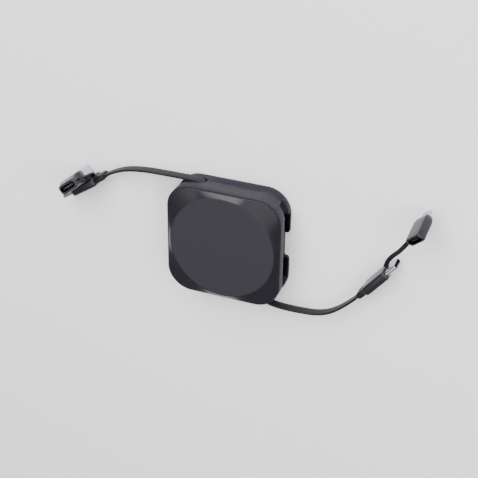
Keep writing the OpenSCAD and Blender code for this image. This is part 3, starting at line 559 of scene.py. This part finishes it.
def ring_of_screws_tree():
    """Like screws on a ring: a round head with a cross recess, and a threaded shank that points down."""
    tree, given = new_tree("ring_of_screws", [
        ("Screws", "int"), ("Ring Radius", "float"), ("First Angle", "float"), ("Seat Height", "float"),
        ("Head Radius", "float"), ("Head Height", "float"), ("Shank Radius", "float"), ("Shank Length", "float"),
        ("Thread Pitch", "float"), ("Finish", "material"),
    ])

    def work(kind, a, b):
        return add(tree, "ShaderNodeMath", {0: a, 1: b}, operation=kind).outputs[0]

    def up(z):
        return add(tree, "ShaderNodeCombineXYZ", {"Z": z}).outputs["Vector"]

    # Head: a straight rim under a low cone, which reads as a pan head at this size
    rim_height = work("MULTIPLY", given["Head Height"], 0.55)
    rim = add(tree, "GeometryNodeMeshCylinder", {"Vertices": 32, "Radius": given["Head Radius"], "Depth": rim_height})
    rim_up = add(tree, "GeometryNodeTransform", {
        "Geometry": rim.outputs["Mesh"], "Translation": up(work("MULTIPLY", rim_height, 0.5)),
    })
    crown = add(tree, "GeometryNodeMeshCone", {
        "Vertices": 32, "Radius Top": work("MULTIPLY", given["Head Radius"], 0.72),
        "Radius Bottom": given["Head Radius"], "Depth": work("SUBTRACT", given["Head Height"], rim_height),
    })
    crown_up = add(tree, "GeometryNodeTransform", {"Geometry": crown.outputs["Mesh"], "Translation": up(rim_height)})
    length = work("MULTIPLY", given["Head Radius"], 1.3)
    slot_size = add(tree, "ShaderNodeCombineXYZ", {
        "X": length, "Y": work("MULTIPLY", given["Head Radius"], 0.2), "Z": given["Head Height"],
    })
    slot = add(tree, "GeometryNodeMeshCube", {"Size": slot_size.outputs["Vector"]})
    cross = add(tree, "GeometryNodeTransform", {
        "Geometry": slot.outputs["Mesh"], "Rotation": (0.0, 0.0, math.pi / 2),
    })
    recess = add(tree, "GeometryNodeJoinGeometry")
    tree.links.new(slot.outputs["Mesh"], recess.inputs["Geometry"])
    tree.links.new(cross.outputs["Geometry"], recess.inputs["Geometry"])
    recess_up = add(tree, "GeometryNodeTransform", {
        "Geometry": recess.outputs["Geometry"], "Translation": up(work("MULTIPLY", given["Head Height"], 0.95)),
    })
    head = add(tree, "GeometryNodeMeshBoolean", operation="UNION")
    tree.links.new(rim_up.outputs["Geometry"], head.inputs["Mesh 2"])
    tree.links.new(crown_up.outputs["Geometry"], head.inputs["Mesh 2"])
    cut = add(tree, "GeometryNodeMeshBoolean", {"Mesh 1": head.outputs["Mesh"]}, operation="DIFFERENCE")
    tree.links.new(recess_up.outputs["Geometry"], cut.inputs["Mesh 2"])
    # Shank with a rolled thread: a small triangle swept along a rising spiral
    core_radius = work("MULTIPLY", given["Shank Radius"], 0.84)
    shank = add(tree, "GeometryNodeMeshCylinder", {
        "Vertices": 24, "Radius": core_radius, "Depth": given["Shank Length"],
    })
    shank_down = add(tree, "GeometryNodeTransform", {
        "Geometry": shank.outputs["Mesh"], "Translation": up(work("MULTIPLY", given["Shank Length"], -0.5)),
    })
    threaded = work("MULTIPLY", given["Shank Length"], 0.86)
    helix = add(tree, "GeometryNodeCurveSpiral", {
        "Resolution": 20, "Rotations": work("DIVIDE", threaded, given["Thread Pitch"]),
        "Start Radius": core_radius, "End Radius": core_radius, "Height": threaded,
    })
    crest = work("SUBTRACT", given["Shank Radius"], core_radius)
    triangle = add(tree, "GeometryNodeCurvePrimitiveCircle", {"Resolution": 3, "Radius": crest}, mode="RADIUS")
    thread = add(tree, "GeometryNodeCurveToMesh", {
        "Curve": helix.outputs["Curve"], "Profile Curve": triangle.outputs["Curve"], "Fill Caps": True,
    })
    thread_down = add(tree, "GeometryNodeTransform", {
        "Geometry": thread.outputs["Mesh"], "Translation": up(work("MULTIPLY", given["Shank Length"], -0.98)),
    })
    screw = add(tree, "GeometryNodeJoinGeometry")
    for part in (cut.outputs["Mesh"], shank_down.outputs["Geometry"], thread_down.outputs["Geometry"]):
        tree.links.new(part, screw.inputs["Geometry"])
    # The ring that they stand on
    points = add(tree, "GeometryNodePoints", {"Count": given["Screws"]})
    number = add(tree, "GeometryNodeInputIndex")
    step = work("DIVIDE", 2 * math.pi, given["Screws"])
    angle = work("ADD", work("MULTIPLY", number.outputs["Index"], step), given["First Angle"])
    spot = add(tree, "ShaderNodeCombineXYZ", {
        "X": work("MULTIPLY", work("COSINE", angle, 0.0), given["Ring Radius"]),
        "Y": work("MULTIPLY", work("SINE", angle, 0.0), given["Ring Radius"]), "Z": given["Seat Height"],
    })
    placed = add(tree, "GeometryNodeSetPosition", {
        "Geometry": points.outputs["Points"], "Position": spot.outputs["Vector"],
    })
    # Each screw stops at its own angle when it is driven home
    stopped = add(tree, "FunctionNodeRandomValue", {"Seed": 7}, data_type="FLOAT")
    stopped.inputs[3].default_value = math.pi / 2
    driven = add(tree, "ShaderNodeCombineXYZ", {"Z": stopped.outputs[1]})
    screws = add(tree, "GeometryNodeInstanceOnPoints", {
        "Points": placed.outputs["Geometry"], "Instance": screw.outputs["Geometry"],
        "Rotation": driven.outputs["Vector"],
    })
    return end_tree(tree, screws.outputs["Instances"], given["Finish"])


trees = {}


def tree_for(kind):
    """One of the trees above, built once."""
    if kind not in trees:
        trees[kind] = {
            "strip": wound_strip_tree, "contacts": contact_rows_tree, "screws": ring_of_screws_tree,
        }[kind]()
    return trees[kind]


class CaseSizes(bpy.types.PropertyGroup):
    """Sizes of the case's front"""
    disc_diameter: FloatProperty(
        name="Disc diameter", description="Flat disc on the front", default=0.055, unit="LENGTH", subtype="DISTANCE")
    rim_half: FloatProperty(
        name="Rim half width", description="From the middle to the edge of the rim", default=0.0295,
        unit="LENGTH", subtype="DISTANCE")
    rim_corner: FloatProperty(
        name="Rim corner radius", description="Corner radius of the rim seen from the front", default=0.01225,
        unit="LENGTH", subtype="DISTANCE")
    edge_softness: FloatProperty(
        name="Edge softness", description="Rounding of the shells' moulded edges", default=0.00012,
        unit="LENGTH", subtype="DISTANCE")


class CordSizes(bpy.types.PropertyGroup):
    """Sizes of the flat cords and the straps"""
    width: FloatProperty(
        name="Cord width", description="Width of the flat cord", default=0.005, unit="LENGTH", subtype="DISTANCE")
    thickness: FloatProperty(
        name="Cord thickness", description="Thickness of the flat cord", default=0.0012,
        unit="LENGTH", subtype="DISTANCE")
    points: IntProperty(name="Route points", description="Points on each free cord", default=38, min=15, max=40)
    strap_width: FloatProperty(
        name="Strap width", description="Width of the straps to the adapters", default=0.0023,
        unit="LENGTH", subtype="DISTANCE")
    strap_thickness: FloatProperty(
        name="Strap thickness", description="Thickness of the straps", default=0.001,
        unit="LENGTH", subtype="DISTANCE")


class ReelSizes(bpy.types.PropertyGroup):
    """Sizes of what is wound inside"""
    lead_turns: FloatProperty(name="Turns of each lead", description="Turns of cord still on the reel", default=4.38)


class PlugSizes(bpy.types.PropertyGroup):
    """Sizes of the plugs' grips"""
    grip_length: FloatProperty(
        name="Grip length", description="Moulded grip of each plug", default=0.016, unit="LENGTH", subtype="DISTANCE")
    grip_width: FloatProperty(
        name="Grip width", description="Width of the grip", default=0.0104, unit="LENGTH", subtype="DISTANCE")
    grip_thickness: FloatProperty(
        name="Grip thickness", description="Thickness of the grip", default=0.0048, unit="LENGTH", subtype="DISTANCE")


class StageLook(bpy.types.PropertyGroup):
    """Floor and light"""
    floor_colour: FloatVectorProperty(
        name="Floor colour", description="Pale matt floor", subtype="COLOR", size=4, min=0, max=1,
        default=linear("#F4F4F5"))
    light_power: FloatProperty(
        name="Light", description="Scale of all the soft boxes", default=1.0, min=0.0, subtype="FACTOR", max=10.0)


class CABLE_OT_camera(bpy.types.Operator):
    """Sets the camera at the photograph's viewing angle"""
    bl_idname = "cable.camera"
    bl_label = "Camera"

    def execute(self, context):
        lens = bpy.data.cameras.new("camera")
        lens.lens = 85.87
        lens.sensor_width = 36
        lens.clip_start = 0.01
        eye = bpy.data.objects.new("camera", lens)
        context.collection.objects.link(eye)
        across, upward, back = ((0.9318, 0.0134, -0.3628), (-0.1965, 0.8588, -0.4731), (0.3053, 0.5121, 0.8028))
        turned = Matrix((across, upward, back)).transposed().to_4x4()
        eye.matrix_world = Matrix.Translation(mm(179.1, 292.6, 465.1)) @ turned
        context.scene.camera = eye
        return {"FINISHED"}


def cord_route(side):
    """Centres of one cord in metres, from the coil to the plug."""
    flip = 1 if side == "left" else -1
    ox, oy, _ = SIDES[side]["origin"]

    def guided(axis, share):
        return flip * (LEAVE[axis] + (MEET[axis] - LEAVE[axis]) * share)

    inside = [Vector((guided(0, share), guided(1, share), SLOT_Z)) for share in (0, 0.25, 0.5, 0.75, 1)]
    free = [Vector((ox + x, oy + y, PLUG_Z + share * (SLOT_Z - PLUG_Z))) for x, y, share in ROUTES[side]]
    return [p * MM for p in inside + free]


def plug_frame(side):
    """Places a plug at the end of its cord: X towards the tip, its width upright."""
    end = cord_route(side)[-1]
    return Matrix.Translation(end) @ Matrix.Rotation(math.radians(SIDES[side]["heading"]), 4, "Z")


def adapter_frame(side):
    """Places an adapter by the middle of its socket's face: X towards its nose."""
    at, turns = ADAPTERS[side]
    spot = Vector(SIDES[side]["origin"]) + Vector(at)
    turned = Matrix.Identity(4)
    for axis, angle in zip("XYZ", turns):
        turned = Matrix.Rotation(math.radians(angle), 4, axis) @ turned
    return Matrix.Translation(spot * MM) @ turned


class CABLE_OT_cords(bpy.types.Operator):
    """Sweeps both flat cords and the straps that hold the adapters"""
    bl_idname = "cable.cords"
    bl_label = "Cords and straps"

    def execute(self, context):
        sizes = context.scene.cable_cord
        wide, thick = sizes.width / MM, sizes.thickness / MM
        for side in SIDES:
            route = smooth_route(cord_route(side), sizes.points)
            mesh = sweep(side + "_cord_jacket", route, thick, wide, 0.45, Vector((0, 0, 1)))
            piece = put(side + "_cord_jacket", mesh, "cord_jacket", "case", [side + "_cord"])
            piece["route"] = [list(p) for p in route]
            strap = smooth_route([(Vector(SIDES[side]["origin"]) + Vector(p)) * MM for p in STRAPS[side]], 22)
            heading = math.radians(SIDES[side]["heading"])
            # The left strap is turned edge-on to its plug, the right one lies across its run
            hold = Vector((math.cos(heading), math.sin(heading), 0)) if side == "left" else Vector((0.85, -0.53, 0))
            mesh = sweep(side + "_strap", strap, sizes.strap_thickness / MM, sizes.strap_width / MM, 0.35, hold)
            put(side + "_strap", mesh, "strap_rubber", "case", [side + "_tether"])
        return {"FINISHED"}


class CABLE_OT_shells(bpy.types.Operator):
    """Rounds the moulded edges of the rear and the front shell"""
    bl_idname = "cable.shells"
    bl_label = "Case shells"

    def execute(self, context):
        soft = context.scene.cable_case.edge_softness / MM
        # The shells leave a shadow gap round the outside where they meet
        low, high = PARTING_Z - GAP_HIGH / 2, PARTING_Z + GAP_HIGH / 2
        corners = ((1, low), (1, high), (-GAP_DEEP, high), (-GAP_DEEP, low))
        rings = [rounded_square(CASE_HALF + out, CASE_CORNER + out, z) for out, z in corners]
        gap = bpy.data.objects.new("parting_gap", loft("parting_gap", rings, closed=True))
        context.collection.objects.link(gap)
        for node in ("rear_shell", "front_shell"):
            holder = bpy.data.objects.new(node + "_cut", softened(node, soft))
            context.collection.objects.link(holder)
            cut = holder.modifiers.new("Parting", "BOOLEAN")
            cut.operation, cut.solver, cut.object = "DIFFERENCE", "EXACT", gap
            now = context.evaluated_depsgraph_get()
            mesh = bpy.data.meshes.new_from_object(holder.evaluated_get(now), depsgraph=now)
            bpy.data.objects.remove(holder)
            put(node + "_moulding", mesh, "case_plastic", "case", [node])
        bpy.data.objects.remove(gap)
        return {"FINISHED"}


def rounded_square(half, corner, z, count=192):
    """A ring of points round a round-cornered square, in metres from millimetres."""
    angles = [2 * math.pi * i / count for i in range(count)]
    reach = [square_reach(a, half, corner) for a in angles]
    return [mm(r * math.cos(a), r * math.sin(a), z) for r, a in zip(reach, angles)]


def square_reach(angle, half, radius):
    """Distance from the middle to a round-cornered square's edge in that direction."""
    c, s = abs(math.cos(angle)), abs(math.sin(angle))
    flat = half - radius
    if c and s / c * half <= flat:
        return half / c
    if s and c / s * half <= flat:
        return half / s
    along = flat * (c + s)
    return along + math.sqrt(along * along - (2 * flat * flat - radius * radius))


class CABLE_OT_front_plate(bpy.types.Operator):
    """Lofts the front cover: a flat disc that falls away to the rounded square rim"""
    bl_idname = "cable.front_plate"
    bl_label = "Front plate"

    def execute(self, context):
        sizes = context.scene.cable_case
        disc, rim, corner = sizes.disc_diameter / MM / 2, sizes.rim_half / MM, sizes.rim_corner / MM
        top, rim_top, rim_bottom, seat, hollow = 18.5, 16.9, 16.5, 15.6, 17.2
        count = 192
        angles = [2 * math.pi * i / count for i in range(count)]

        def circle(radius, z):
            return [mm(radius * math.cos(a), radius * math.sin(a), z) for a in angles]

        def square(inset, z):
            return rounded_square(rim - inset, corner - inset, z, count)

        land = square(0.3, rim_top)
        edge = circle(disc, top)
        slopes = [[a.lerp(b, share) for a, b in zip(edge, land)] for share in (0.04, 0.12, 0.3, 0.55, 0.8, 0.97, 1)]
        rings = [circle(r, top) for r in (2, 9, 17, 23, disc - 0.55)]
        rings += [circle(disc - 0.25, top - 0.006), circle(disc - 0.06, top - 0.02)] + slopes
        rings += [square(0.12, rim_top - 0.03), square(0.02, rim_top - 0.12), square(0, rim_bottom + 0.14)]
        rings += [square(0.05, rim_bottom + 0.02), square(0.14, rim_bottom), square(1.1, rim_bottom), square(1.1, seat)]
        rings += [circle(disc - 3, seat), circle(disc - 3, hollow), circle(disc - 9, hollow), circle(2, hollow)]
        put("front_plate_cover", loft("front_plate_cover", rings), "case_plastic", "case", ["front_plate"],
            sharp=40, finish="case_front")
        return {"FINISHED"}


class CABLE_OT_screws(bpy.types.Operator):
    """Sets the case screws and the reel's flange screws, each with a cross recess and a thread"""
    bl_idname = "cable.screws"
    bl_label = "Screws"

    def execute(self, context):
        case = {
            "Screws": 4, "Ring Radius": 19.5 * math.sqrt(2) * MM, "First Angle": math.pi / 4,
            "Seat Height": 14.5 * MM, "Head Radius": 1.9 * MM, "Head Height": 1.0 * MM,
            "Shank Radius": 0.85 * MM, "Shank Length": 11.3 * MM, "Thread Pitch": 0.6 * MM,
        }
        grow("case_screw_set", tree_for("screws"), case, "screw_steel", "case", ["case_screws"])
        flange = {
            "Screws": 3, "Ring Radius": 5.2 * MM, "First Angle": math.pi / 3, "Seat Height": 11.4 * MM,
            "Head Radius": 1.3 * MM, "Head Height": 0.6 * MM, "Shank Radius": 0.7 * MM,
            "Shank Length": 2.2 * MM, "Thread Pitch": 0.4 * MM,
        }
        grow("flange_screw_set", tree_for("screws"), flange, "screw_steel", "reel", ["flange_screws"])
        return {"FINISHED"}


class CABLE_OT_reel(bpy.types.Operator):
    """Finishes the reel's drum, flange, cover and ball"""
    bl_idname = "cable.reel"
    bl_label = "Reel"

    def execute(self, context):
        for node in ("reel_drum", "reel_flange", "spring_cover"):
            put(node + "_moulding", softened(node, 0.12), "reel_plastic", "reel", [node])
        dress("catch_ball", "ball_steel")
        return {"FINISHED"}


class CABLE_OT_windings(bpy.types.Operator):
    """Winds the two leads of cord side by side on the hub, and the power spring in its chamber"""
    bl_idname = "cable.windings"
    bl_label = "Wound cord and power spring"

    def execute(self, context):
        sizes = context.scene.cable_reel
        thick = context.scene.cable_cord.thickness
        inner, outer = 9.4 * MM + thick / 2, 20.28 * MM - thick / 2
        pitch = (outer - inner) / (sizes.lead_turns + 0.5)
        for number, side in enumerate(SIDES):
            first = inner + number * pitch / 2
            values = {
                "Turns": sizes.lead_turns, "Inner Radius": first, "Outer Radius": first + pitch * sizes.lead_turns,
                "Thickness": thick, "Width": 4.96 * MM, "Edge Radius": 0.4 * MM, "Middle Height": SLOT_Z * MM,
                "Start Angle": math.pi * number, "Points a Turn": 64,
            }
            grow("wound_" + side + "_lead", tree_for("strip"), values, "cord_jacket", "reel", ["cord_coil"])
        dress("power_spring", "spring_steel")
        return {"FINISHED"}


def grip_table(length, thick, wide):
    """Rows for the grip: soft shoulders behind, a slight swell, and a rounded front."""
    start, end = 5.7, 5.7 + length
    rows = [(start, thick - 1.5, wide - 2.0, 1.1), (start + 0.12, thick - 1.0, wide - 1.3, 1.2)]
    rows += [(start + 0.4, thick - 0.5, wide - 0.6, 1.3), (start + 0.9, thick - 0.15, wide - 0.15, 1.4)]
    rows += [(start + 1.6, thick, wide, 1.45), (start + length * 0.5, thick, wide, 1.45)]
    rows += [(end - 1.4, thick, wide, 1.45), (end - 0.8, thick - 0.1, wide - 0.15, 1.4)]
    rows += [(end - 0.35, thick - 0.35, wide - 0.55, 1.3), (end - 0.1, thick - 0.75, wide - 1.1, 1.2)]
    rows += [(end, thick - 1.15, wide - 1.7, 1.1)]
    return rows


RELIEF_TABLE = [
    (0, 2.1, 5.7, 0.8), (0.1, 2.6, 6.2, 0.9), (0.45, 3.05, 6.65, 1.05), (1.0, 3.3, 6.85, 1.1),
    (2.6, 3.45, 6.93, 1.15), (4.2, 3.6, 7.0, 1.2), (4.4, 3.45, 6.85, 1.2), (4.55, 3.05, 6.45, 1.1),
    (5.0, 3.0, 6.4, 1.1), (5.7, 3.0, 6.4, 1.1),
]


class CABLE_OT_plugs(bpy.types.Operator):
    """Moulds the reliefs and grips, rolls the plugs' metal shells and fits their inserts and contacts"""
    bl_idname = "cable.plugs"
    bl_label = "Plugs"

    def execute(self, context):
        sizes = context.scene.cable_plug
        length, thick, wide = sizes.grip_length / MM, sizes.grip_thickness / MM, sizes.grip_width / MM
        front = 5.7 + length
        back, tip = front - 1.5, front + 6.65
        grip = grip_table(length, thick, wide)
        # The metal is set 1.5 mm into the front of the grip
        grip += [(front, 2.42, 8.27, 1.21), (back, 2.42, 8.27, 1.21)]
        shell = [
            (back, 2.4, 8.25, 1.2), (tip - 0.5, 2.4, 8.25, 1.2), (tip - 0.2, 2.34, 8.19, 1.17),
            (tip - 0.04, 2.2, 8.05, 1.1), (tip, 2.08, 7.93, 1.04), (tip - 0.06, 1.9, 7.75, 0.95),
            (tip - 0.3, 1.81, 7.66, 0.905), (back, 1.8, 7.65, 0.9),
        ]
        contacts = {
            "Contacts": 12, "Pitch": 0.5 * MM, "Length": 3.2 * MM, "Width": 0.25 * MM, "Thickness": 0.08 * MM,
            "Bow": -0.16 * MM, "Half Gap": 0.5 * MM, "Rows": 2,
        }
        for side in SIDES:
            place = plug_frame(side)
            put(side + "_strain_relief", loft(side + "_strain_relief", rings_along_x(RELIEF_TABLE), matrix=place),
                "strap_rubber", "case", [side + "_relief"])
            put(side + "_grip_moulding", loft(side + "_grip_moulding", rings_along_x(grip), matrix=place),
                "grip_plastic", "case", [side + "_grip"])
            put(side + "_plug_sleeve", loft(side + "_plug_sleeve", rings_along_x(shell), closed=True, matrix=place),
                "plug_metal", "case", [side + "_plug_shell"])
            put(side + "_plug_core", softened(side + "_plug_insert", 0.05), "black_insulator", "case",
                [side + "_plug_insert"])
            grow(side + "_plug_springs", tree_for("contacts"), contacts, "gold_contact", "case",
                 [side + "_plug_contacts"], matrix=place @ Matrix.Translation(mm(front + 1, 0, 0)))
        return {"FINISHED"}


SOCKET_TABLE = [(6.2, 2.96, 8.74, 1.48), (0.12, 2.96, 8.74, 1.48), (0.0, 3.1, 8.88, 1.55)]
BLADE_BODY_TABLE = [
    (0.0, 3.9, 10.0, 1.3), (0.08, 4.15, 10.25, 1.35), (0.3, 4.5, 10.6, 1.4), (0.8, 4.7, 10.8, 1.4),
    (5.0, 4.7, 10.8, 1.4), (9.6, 4.7, 10.8, 1.4), (11.0, 4.6, 10.4, 1.4), (12.2, 4.25, 9.6, 1.3),
    (13.0, 3.8, 8.9, 1.2), (13.5, 3.3, 8.2, 1.1), (13.85, 2.8, 7.6, 0.95), (14.0, 2.3, 7.2, 0.8),
    (14.0, 1.52, 6.72, 0.7), (12.0, 1.52, 6.72, 0.7),
]
WIDE_BODY_TABLE = [
    (0.0, 4.5, 9.2, 1.5), (0.08, 4.8, 9.6, 1.6), (0.3, 5.1, 10.0, 1.65), (0.7, 5.3, 10.2, 1.7),
    (2.5, 5.5, 10.45, 1.7), (4.3, 5.75, 10.75, 1.7), (5.0, 5.9, 11.2, 1.65), (5.6, 6.1, 12.0, 1.6),
    (6.2, 6.35, 12.9, 1.5), (6.7, 6.5, 13.35, 1.4), (7.2, 6.5, 13.4, 1.4), (9.8, 6.5, 13.4, 1.4),
    (10.2, 6.3, 13.2, 1.4), (10.42, 6.0, 12.9, 1.3), (10.5, 5.7, 12.6, 1.2),
    (10.5, 4.52, 12.02, 0.6), (9.0, 4.52, 12.02, 0.6),
]


class CABLE_OT_adapters(bpy.types.Operator):
    """Moulds the two tethered adapters and finishes their sockets, blades and contacts"""
    bl_idname = "cable.adapters"
    bl_label = "Adapters"

    def execute(self, context):
        liner = [
            (0.1, 2.92, 8.7, 1.46), (0.02, 2.8, 8.58, 1.4), (0.1, 2.6, 8.38, 1.3), (0.3, 2.56, 8.34, 1.28),
            (6.2, 2.56, 8.34, 1.28), (6.2, 2.94, 8.72, 1.47),
        ]
        tongue_pads = {
            "Contacts": 12, "Pitch": 0.5 * MM, "Length": 3.4 * MM, "Width": 0.26 * MM, "Thickness": 0.05 * MM,
            "Bow": 0.02 * MM, "Half Gap": 0.365 * MM, "Rows": 2,
        }
        blade_pads = dict(tongue_pads, **{
            "Contacts": 8, "Pitch": 0.62 * MM, "Length": 1.9 * MM, "Width": 0.45 * MM, "Half Gap": 0.765 * MM,
        })
        wide_pads = dict(tongue_pads, **{
            "Contacts": 2, "Pitch": 7 * MM, "Length": 8 * MM, "Width": 1.0 * MM, "Thickness": 0.14 * MM, "Rows": 1,
        })
        bodies = {"left": WIDE_BODY_TABLE, "right": BLADE_BODY_TABLE}
        for side, table in bodies.items():
            place = adapter_frame(side)
            name = side + "_adapter_moulding"
            put(name, loft(name, rings_along_x(SOCKET_TABLE + table), matrix=place), "grip_plastic", "case",
                [side + "_adapter"])
            # The socket liners take the near-black finish: painted shade inside the sockets
            name = side + "_socket_liner"
            put(name, loft(name, rings_along_x(liner), closed=True, matrix=place), "plug_metal", "case",
                [side + "_socket_shell"], finish="socket_metal_painted_shade")
            put(side + "_socket_board", softened(side + "_socket_tongue", 0.08), "black_insulator", "case",
                [side + "_socket_tongue"])
            grow(side + "_socket_pads", tree_for("contacts"), tongue_pads, "gold_contact", "case",
                 matrix=place @ Matrix.Translation(mm(1.0, 0, 0)), finish="plug_metal")
        place = adapter_frame("right")
        put("blade_plate", softened("blade", 0.25, segments=3), "plug_metal", "case", ["blade"])
        grow("blade_pads", tree_for("contacts"), blade_pads, "gold_contact", "case", ["blade_contacts"],
             matrix=place @ Matrix.Translation(mm(14.8, 0, 0)), finish="plug_metal")
        place = adapter_frame("left")
        put("wide_plug_sleeve", softened("usb_a_shell", 0.12), "plug_metal", "case", ["usb_a_shell"])
        put("wide_plug_tongue", softened("usb_a_tongue", 0.15), "black_insulator", "case", ["usb_a_tongue"])
        dress("usb_a_contacts", "gold_contact")
        return {"FINISHED"}


class CABLE_OT_declare(bpy.types.Operator):
    bl_idname = "cable.declare"
    bl_label = "Declare cords"

    def execute(self, context):
        for side in SIDES:
            cord = bpy.data.objects[side + "_cord_jacket"]
            del cord["route"]
            riders = [
                side + "_strain_relief", side + "_grip_moulding", side + "_plug_sleeve", side + "_plug_core",
                side + "_plug_springs", side + "_strap", side + "_adapter_moulding", side + "_socket_liner",
                side + "_socket_board", side + "_socket_pads",
            ]
            riders += {
                "left": ["wide_plug_sleeve", "wide_plug_tongue", "usb_a_contacts"],
                "right": ["blade_plate", "blade_pads"],
            }[side]
        return {"FINISHED"}


class CABLE_OT_stage(bpy.types.Operator):
    """Lays the pale floor and hangs the soft lights"""
    bl_idname = "cable.stage"
    bl_label = "Stage"

    def execute(self, context):
        look = context.scene.cable_stage
        bm = bmesh.new()
        bmesh.ops.create_grid(bm, x_segments=8, y_segments=8, size=2.5)
        mesh = bpy.data.meshes.new("floor")
        bm.to_mesh(mesh)
        bm.free()
        material, tree, shader = new_material("matt_paper")
        where = add(tree, "ShaderNodeTexCoord").outputs["Object"]
        fibres = add(tree, "ShaderNodeTexNoise", {"Vector": where, "Scale": 800.0, "Detail": 2.0})
        bump = add(tree, "ShaderNodeBump", {"Height": fibres.outputs["Fac"], "Strength": 0.1, "Distance": 0.0001})
        tree.links.new(bump.outputs["Normal"], shader.inputs["Normal"])
        shader.inputs["Base Color"].default_value = look.floor_colour
        shader.inputs["Roughness"].default_value = 0.9
        mesh.materials.append(material)
        floor = bpy.data.objects.new("floor", mesh)
        context.collection.objects.link(floor)
        boxes = [
            ("key_box", (-0.1, 0.95, 0.9), 1.2, 32.0),
            ("side_box", (0.95, 0.45, 1.0), 1.0, 18.0),
            ("fill_box", (-0.3, -0.2, 1.3), 0.9, 5.0),
        ]
        for name, at, size, power in boxes:
            lamp = bpy.data.lights.new(name, "AREA")
            lamp.shape = "SQUARE"
            lamp.size = size
            lamp.energy = power * look.light_power
            holder = bpy.data.objects.new(name, lamp)
            holder.location = at
            holder.rotation_euler = (Vector((0.0, 0.0, 0.01)) - Vector(at)).to_track_quat("-Z", "Y").to_euler()
            context.collection.objects.link(holder)
        world = bpy.data.worlds.new("studio")
        world.use_nodes = True
        world.node_tree.nodes["Background"].inputs["Color"].default_value = linear("#FAFAFC")
        world.node_tree.nodes["Background"].inputs["Strength"].default_value = 0.35
        context.scene.world = world
        return {"FINISHED"}


class CABLE_PT_panel(bpy.types.Panel):
    """Lists the sizes, and the steps in order"""
    bl_label = "Retractable cable"
    bl_idname = "CABLE_PT_panel"
    bl_space_type = "VIEW_3D"
    bl_region_type = "UI"
    bl_category = "Cable"

    def draw(self, context):
        layout = self.layout
        for title, group in (("Case", "cable_case"), ("Cords", "cable_cord"), ("Reel", "cable_reel"),
                             ("Plugs", "cable_plug"), ("Stage", "cable_stage")):
            box = layout.box()
            box.label(text=title)
            values = getattr(context.scene, group)
            for key in values.__annotations__:
                box.prop(values, key)
        for step in STEPS:
            layout.operator(step.bl_idname)


GROUPS = {
    "cable_case": CaseSizes, "cable_cord": CordSizes, "cable_reel": ReelSizes, "cable_plug": PlugSizes,
    "cable_stage": StageLook,
}
STEPS = [
    CABLE_OT_camera, CABLE_OT_cords, CABLE_OT_shells, CABLE_OT_front_plate, CABLE_OT_screws, CABLE_OT_reel,
    CABLE_OT_windings, CABLE_OT_plugs, CABLE_OT_adapters, CABLE_OT_declare, CABLE_OT_stage,
]


def register():
    for kind in [*GROUPS.values(), *STEPS, CABLE_PT_panel]:
        bpy.utils.register_class(kind)
    for name, kind in GROUPS.items():
        setattr(bpy.types.Scene, name, PointerProperty(type=kind))


def unregister():
    for name in GROUPS:
        delattr(bpy.types.Scene, name)
    for kind in reversed([*GROUPS.values(), *STEPS, CABLE_PT_panel]):
        bpy.utils.unregister_class(kind)


def main():
    register()
    for step in STEPS:
        group, action = step.bl_idname.split(".")
        getattr(getattr(bpy.ops, group), action)()


if __name__ == "__main__":
    main()
